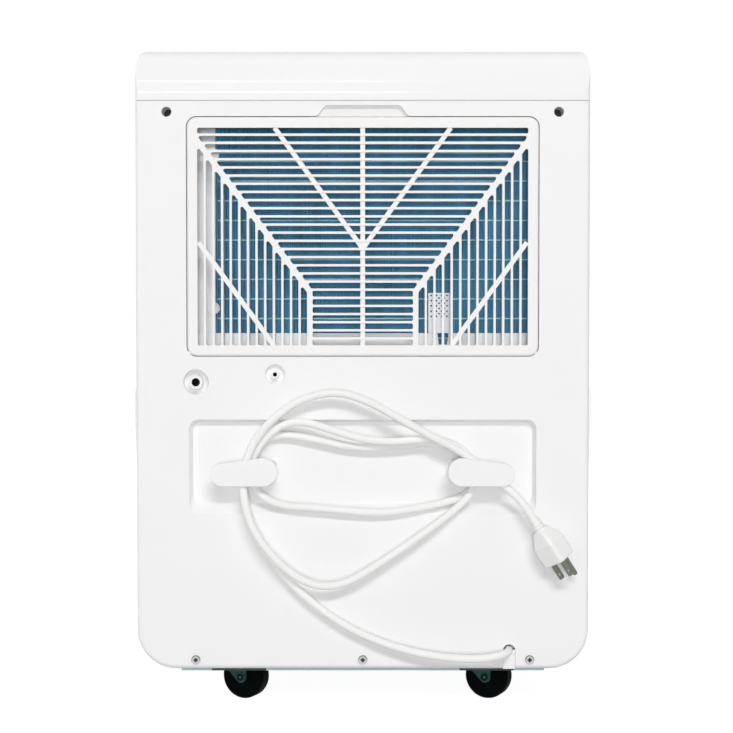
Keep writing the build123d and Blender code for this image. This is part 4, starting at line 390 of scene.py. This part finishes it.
# %% Finger notch
UNDER_NOTCH = (0, 0.126, 0.571)
NOTCH_REACH, NOTCH_EDGE = 0.0064, 0.0008
in_notch = near_line(rear_white.node_tree, UNDER_NOTCH, ALONG_X, NOTCH_REACH, NOTCH_EDGE)
tint(rear_white, in_notch, (238, 236, 237))
print("notch", rear_white.name)

# %% [markdown]
# ## Plastics inside and below
# The base pan is a pale grey-blue plastic that shows as a thin edge under the covers, and the caster cups are dark.
# The photograph doesn't show the inner walls or the bucket, which are given a dark and a cloudy grey. They all use
# the same finish with their own colours, most of them with a coarser grain.

# %% Inner plastics
base_grey = finish("base_grey", (184, 204, 208), 0.5, grain=0.001, depth=0.00003, tone=0.08)
inner_grey = finish("inner_grey", (66, 70, 72), 0.55, grain=0.001, depth=0.00003, tone=0.08)
cup_dark = finish("cup_dark", (52, 60, 60), 0.5, grain=0.001, depth=0.00003, tone=0.1)
bucket_grey = finish("bucket_grey", (214, 217, 219), 0.32, grain=0.0008, depth=0.00002, tone=0.04)
float_foam = finish("float_foam", (240, 238, 232), 0.75, grain=0.0022, depth=0.00025, patch=0.006, tone=0.08)
tray_white = finish("tray_white", (252, 253, 254), 0.4, tone=0.03)
sensor_grey = finish("sensor_grey", (246, 249, 251), 0.45, tone=0.04)
dress(base_grey, "base_pan")
dress(inner_grey, "bucket_wall", "mid_deck", "fan_housing", "electrical_box")
dress(cup_dark, "caster_cups", "condensate_pump", "bucket_switch")
dress(bucket_grey, "water_bucket", "bucket_lid")
dress(float_foam, "bucket_float")
dress(tray_white, "drip_tray")
dress(sensor_grey, "sensor_housing")
print("inner plastics dressed")

# %% [markdown]
# ## Cord skin and plug
# Cord and plug are one soft white plastic, moulded a little shinier than the housing. A cord's skin is never
# quite even, so soft patches about three centimetres across are mixed in.

# %% Cord skin
cord_skin = finish("cord_skin", (246, 246, 244), 0.36, grain=0.0012, depth=0.00002, patch=0.03, tone=0.02)
plug_skin = finish("plug_skin", (246, 246, 245), 0.34, grain=0.0009, depth=0.00002, tone=0.02)
cord_curve.materials.append(cord_skin)
dress(plug_skin, "plug_body")
print("cord and plug dressed")

# %% [markdown]
# ## Bare and painted metal
# Screws, pins and pipes are metal: nearly all their look is reflection. On the plug's pins fine marks blur it
# along one direction, and stretching the noise gives that without drawing scratches.
# The coil's end plates are pale. One of them stands close behind the drain's bore, where the photograph shows only
# darkness, so that spot of the plate is painted dark.

# %% Metals
screw_steel = finish("screw_steel", (196, 197, 198), 0.28, grain=0.0004, depth=0.00001, patch=0.004, tone=0.15,
                     metal=1.0)
bolt_steel = finish("bolt_steel", (150, 150, 152), 0.35, grain=0.0006, depth=0.00001, patch=0.006, tone=0.2,
                    metal=1.0)
pin_metal = finish("pin_metal", (122, 126, 116), 0.26, grain=0.0003, depth=0.000008, patch=0.006, tone=0.15,
                   stretch=(1, 6, 1), metal=1.0)
sheet_pale = finish("sheet_pale", (250, 251, 252), 0.38, grain=0.0015, depth=0.00002, patch=0.012, tone=0.04)
shaft_steel = finish("shaft_steel", (176, 178, 180), 0.3, grain=0.0006, depth=0.00001, tone=0.12, metal=1.0)
fin_bare = finish("fin_bare", (198, 200, 202), 0.35, grain=0.0012, depth=0.00006, tone=0.1, metal=0.9)
copper = finish("copper_pipe", (196, 122, 84), 0.3, grain=0.004, depth=0.00002, patch=0.02, tone=0.3, metal=1.0)
black_paint = finish("black_paint", (30, 31, 33), 0.3, grain=0.0025, depth=0.00006, patch=0.03, tone=0.2)
can_bare = finish("capacitor_can", (170, 172, 175), 0.3, grain=0.001, depth=0.00001, tone=0.1, metal=1.0)
dress(screw_steel, "cover_screws")
dress(bolt_steel, "compressor_bolts")
dress(pin_metal, "plug_pins")
dress(sheet_pale, "coil_brackets")
dress(shaft_steel, "fan_shaft", "fan_motor")
dress(fin_bare, "condenser_fins")
dress(copper, "condenser_tubes", "suction_pipe", "discharge_pipe", "capillary_tube")
dress(black_paint, "compressor")
dress(can_bare, "run_capacitor")

SPOT_R, SPOT_EDGE = 0.009, 0.002
behind_drain = near_line(sheet_pale.node_tree, outlets["drain_outlet"], ALONG_Y, SPOT_R, SPOT_EDGE)
tint(sheet_pale, behind_drain, (24, 24, 21))
print("metals dressed")

# %% [markdown]
# In the photograph the three lower screws are bright with a dark cross, and the two upper ones, deep in their
# wells, look black. All five are one piece in the model, so the finish looks at the place on the object: high up,
# or below the face of the head, it paints shade, dark and without metal shine: the shade of the deep wells and of
# the cross recesses. It also paints a dark middle on the bright heads, the shade of the cross, and on the upper
# half of their edge the painted shade that the rim of a well would throw.

# %% Bright and dark screws
HEAD_FACE = 0.136
CROSS_EDGE = 0.0004
LOWER_END, UPPER_START = 0.3, 0.5
DARK_METAL, MOST_SHADE = 0.1, 0.9
# Painted shade: the dark colour stands for the shade in the upper screws' deep wells and in each cross recess.
BRIGHT, SCREW_SHADE = linear(200, 201, 202), linear(26, 34, 38)
tree = screw_steel.node_tree
screw_shader = tree.nodes["Principled BSDF"]
place = tree.nodes.new("ShaderNodeTexCoord")
axes = tree.nodes.new("ShaderNodeSeparateXYZ")
tree.links.new(place.outputs["Object"], axes.inputs[0])
dark = tree.nodes.new("ShaderNodeMath")
dark.operation = "MAXIMUM"
upper_two = spread(tree, axes.outputs["Z"], 0, 1, LOWER_END, UPPER_START)
in_cross = spread(tree, axes.outputs["Y"], 1, 0, HEAD_FACE - 2 * CROSS_EDGE, HEAD_FACE - CROSS_EDGE)
tree.links.new(upper_two, dark.inputs[0])
tree.links.new(in_cross, dark.inputs[1])
tree.links.new(blend_colours(tree, dark.outputs[0], BRIGHT, SCREW_SHADE), screw_shader.inputs["Base Color"])
tree.links.new(spread(tree, dark.outputs[0], 1, DARK_METAL, 0, 1), screw_shader.inputs["Metallic"])

# Painted shade: on each lower head, the shade of the well's rim on the upper half of the edge, and the shade of the
# cross as a dark middle.
SCREW_X, SCREW_Z = (-0.1605, 0.0, 0.1605), 0.0452
EDGE_R, SHADE_R = 0.0033, 0.0012
above = spread(tree, axes.outputs["Z"], 0, MOST_SHADE, SCREW_Z - SHADE_R, SCREW_Z + SHADE_R)
for x in SCREW_X:
    middle = (x, 0, SCREW_Z)
    away = from_line(tree, middle, ALONG_Y)
    edge, upper = tree.nodes.new("ShaderNodeMath"), tree.nodes.new("ShaderNodeMath")
    edge.operation = upper.operation = "MULTIPLY"
    tree.links.new(spread(tree, away, 0, 1, EDGE_R, EDGE_R + CROSS_EDGE), edge.inputs[0])
    tree.links.new(spread(tree, away, 1, 0, 2 * EDGE_R, 3 * EDGE_R), edge.inputs[1])
    tree.links.new(edge.outputs[0], upper.inputs[0])
    tree.links.new(above, upper.inputs[1])
    tint(screw_steel, upper.outputs[0], (96, 116, 112))
    tint(screw_steel, near_line(tree, middle, ALONG_Y, SHADE_R, SHADE_R), (44, 56, 44))
print("screws", screw_steel.name)

# %% [markdown]
# ## Casters
# The wheels are a dull black, slightly uneven, and the forks a dark grey-green plastic. In the photograph a
# fork's axle ends in a darker rivet with a bright dimple. Fork and axle are one piece in the model, so the
# finish finds the rivet by its distance from the axis on which the wheel rolls.

# %% Casters
CORNERS = ("rear_left", "rear_right", "front_left", "front_right")
wheel_black = finish("wheel_black", (4, 7, 8), 0.6, grain=0.0014, depth=0.00006, patch=0.012, tone=0.4,
                     specular=0.03)
mount_rubber = finish("mount_rubber", (34, 33, 33), 0.7, grain=0.0012, depth=0.00005, tone=0.2)
dress(wheel_black, *("caster_wheel_" + corner for corner in CORNERS))
dress(mount_rubber, "compressor_mounts")

RIVET_R, DIMPLE_R, RIVET_EDGE = 0.0038, 0.0009, 0.0004
rolls = {joint["name"]: joint for joint in frame["record"]["behaviour"]["joints"]}
for corner in CORNERS:
    paint = finish("fork_grey_" + corner, (56, 90, 90), 0.4, grain=0.0009, depth=0.00003, tone=0.15, specular=0.08)
    axle = rolls[corner + "_roll"]["pos_m"], rolls[corner + "_roll"]["axis"]
    tint(paint, near_line(paint.node_tree, *axle, RIVET_R - RIVET_EDGE, RIVET_EDGE), (8, 20, 18))
    tint(paint, near_line(paint.node_tree, *axle, DIMPLE_R, RIVET_EDGE), (96, 120, 118))
    dress(paint, "caster_fork_" + corner)
print("casters dressed")

# %% [markdown]
# ## Controls
# On top, towards the front, a dark glossy panel carries five soft-grey buttons and a display window,
# and a slatted outlet blows the dry air out. The window in the bucket is clear plastic. The photograph shows
# none of these, so their finishes are ones that are usual on such machines.

# %% Controls
panel_dark = finish("panel_dark", (38, 40, 43), 0.16, grain=0.002, depth=0.000005, tone=0.1, coat=0.3)
button_grey = finish("button_grey", (206, 208, 210), 0.45, grain=0.0005, depth=0.00002, tone=0.03)
outlet_grey = finish("outlet_grey", (206, 208, 210), 0.5, grain=0.0007, depth=0.00002, tone=0.04)
fan_black = finish("fan_black", (40, 42, 44), 0.42, grain=0.0009, depth=0.00002, tone=0.1)
display_glass = finish("display_glass", (16, 22, 26), 0.06, grain=0.01, depth=0.000002, tone=0.2, coat=0.6)
circuit_green = finish("circuit_green", (36, 96, 58), 0.4, grain=0.0015, depth=0.00005, patch=0.004, tone=0.35)
BUTTONS = ("power", "mode", "fan", "down", "up")
dress(panel_dark, "control_panel")
dress(fan_black, "fan_wheel")
dress(button_grey, *("button_" + name for name in BUTTONS))
dress(outlet_grey, "air_outlet_grille")
dress(display_glass, "display_window")
dress(circuit_green, "control_board")

window_clear = finish("window_clear", (226, 238, 242), 0.08, grain=0.01, depth=0.000005, tone=0.05)
window_shader = window_clear.node_tree.nodes["Principled BSDF"]
WINDOW_CLEAR, WINDOW_IOR = 0.85, 1.49
window_shader.inputs["Transmission Weight"].default_value = WINDOW_CLEAR
window_shader.inputs["IOR"].default_value = WINDOW_IOR
dress(window_clear, "level_window")
print("controls dressed")

# %% [markdown]
# ## Coil
# Behind the grille, wet air is cooled by a block of thin blue aluminium plates on rows of tubes. Grooves in
# a solid block would look like a radiator from a model kit, so every plate is made. Seen from above, a plate
# runs straight in for a millimetre and a half and then zigzags, which stops the eye from looking far in.
# Each gets a small random bend and set-back, because such plates are soft.

# %% Coil plates
PLATE_PITCH = 0.0016
PLATE_T = 0.00028
PLATE_BENDS = 20
ZIGZAG = ((0.0, 0.0), (0.0016, 0.0), (0.0046, 0.0014), (0.0076, 0.0), (0.0106, 0.0014))
PLATE_DEEP = ZIGZAG[-1][0]
WANDER, WANDER_KEPT = 0.00012, 0.8
EDGE_WAVER, SET_BACK, LEAN = 0.0002, 0.0005, 0.0002
FIRST_PLATE, END_ROOM = 0.0004, 0.0022
coil_low, coil_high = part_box("evaporator_fins")
chance = random.Random(11)


def add_plate(mesh, middle, set_back, lean):
    """One plate, as a thin closed strip in many short lengths, so that it can waver."""
    rings = []
    wander = 0.0
    for step in range(PLATE_BENDS + 1):
        z = coil_low.z + (coil_high.z - coil_low.z) * step / PLATE_BENDS
        wander = WANDER_KEPT * wander + chance.uniform(-WANDER, WANDER)
        edge = coil_high.y - set_back - chance.uniform(0.0, EDGE_WAVER)
        path = [(middle + wander + side + lean * (1 - deep / PLATE_DEEP), edge - deep) for deep, side in ZIGZAG]
        outline = [(x - PLATE_T / 2, y) for x, y in path] + [(x + PLATE_T / 2, y) for x, y in reversed(path)]
        rings.append([mesh.verts.new((x, y, z)) for x, y in outline])
    for lower, upper in zip(rings, rings[1:]):
        for a in range(len(lower)):
            b = (a + 1) % len(lower)
            mesh.faces.new((lower[a], lower[b], upper[b], upper[a]))
    mesh.faces.new(rings[0][::-1])
    mesh.faces.new(rings[-1])


plates = bmesh.new()
plate_count = int((coil_high.x - coil_low.x - END_ROOM) / PLATE_PITCH) + 1
for index in range(plate_count):
    middle = coil_low.x + FIRST_PLATE + index * PLATE_PITCH
    add_plate(plates, middle, chance.uniform(0.0, SET_BACK), chance.uniform(-LEAN, LEAN))
bmesh.ops.recalc_face_normals(plates, faces=plates.faces)
print("plates", plate_count, "faces", len(plates.faces))

# %% [markdown]
# The photograph shows a thin bright line across the plates at the height of each tube: the highlight along each
# row of tube collars. It is made as a row of small tabs between the plates, whose pale blue is a painted highlight.
# The tabs of one row nearly meet, so they read as a line.
# A painted line would lie flat on the plates' edges, so the tabs are made, as a second material in the same mesh.

# %% Coil tabs and paint
FIRST_TUBE = 0.35403
TUBE_PITCH = 0.01905
TAB_TALL, TAB_T, TAB_WIDE = 0.0013, 0.0003, 0.92 * PLATE_PITCH
TAB_WAVER, TAB_SET_BACK, TAB_DEPTH_WAVER = 0.00015, 0.0008, 0.0004
row = 0
while FIRST_TUBE + row * TUBE_PITCH < coil_high.z - TAB_TALL:
    z = FIRST_TUBE + row * TUBE_PITCH
    for index in range(plate_count - 1):
        left = coil_low.x + FIRST_PLATE + index * PLATE_PITCH
        low = z - TAB_TALL / 2 + chance.uniform(-TAB_WAVER, TAB_WAVER)
        y = coil_high.y - TAB_SET_BACK - chance.uniform(0.0, TAB_DEPTH_WAVER)
        corners = [(left, low), (left + TAB_WIDE, low), (left + TAB_WIDE, low + TAB_TALL), (left, low + TAB_TALL)]
        back_ring = [plates.verts.new((x, y, h)) for x, h in corners]
        front_ring = [plates.verts.new((x, y - TAB_T, h)) for x, h in corners]
        sides = [plates.faces.new((back_ring[a], back_ring[a - 1], front_ring[a - 1], front_ring[a]))
                 for a in range(len(corners))]
        for face in (plates.faces.new(back_ring), plates.faces.new(front_ring[::-1]), *sides):
            face.material_index = 1
    row += 1
bmesh.ops.recalc_face_normals(plates, faces=plates.faces)
plate_mesh = bpy.data.meshes.new("coil_plates")
plates.to_mesh(plate_mesh)
plates.free()
coil_plates = bpy.data.objects.new("coil_plates", plate_mesh)
bpy.context.scene.collection.objects.link(coil_plates)
plate_blue = finish("plate_blue", (130, 210, 246), 0.5, grain=0.003, depth=0.00004, patch=0.012, tone=0.25,
                    stretch=(1, 1, 0.2), metal=0.1)
# Painted highlight: the tabs' pale blue stands for the highlight along each row of tube collars.
tab_blue = finish("tab_blue", (196, 240, 250), 0.3, grain=0.002, depth=0.00002, patch=0.02, tone=0.25)
plate_mesh.materials.append(plate_blue)
plate_mesh.materials.append(tab_blue)
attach(coil_plates, "housing")
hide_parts("evaporator_fins")
tube_blue = finish("tube_blue", (84, 140, 160), 0.3, grain=0.002, depth=0.00002, patch=0.01, tone=0.15, metal=0.6)
dress(tube_blue, "evaporator_tubes")
print("rows of tabs", row, "faces", len(plate_mesh.polygons))
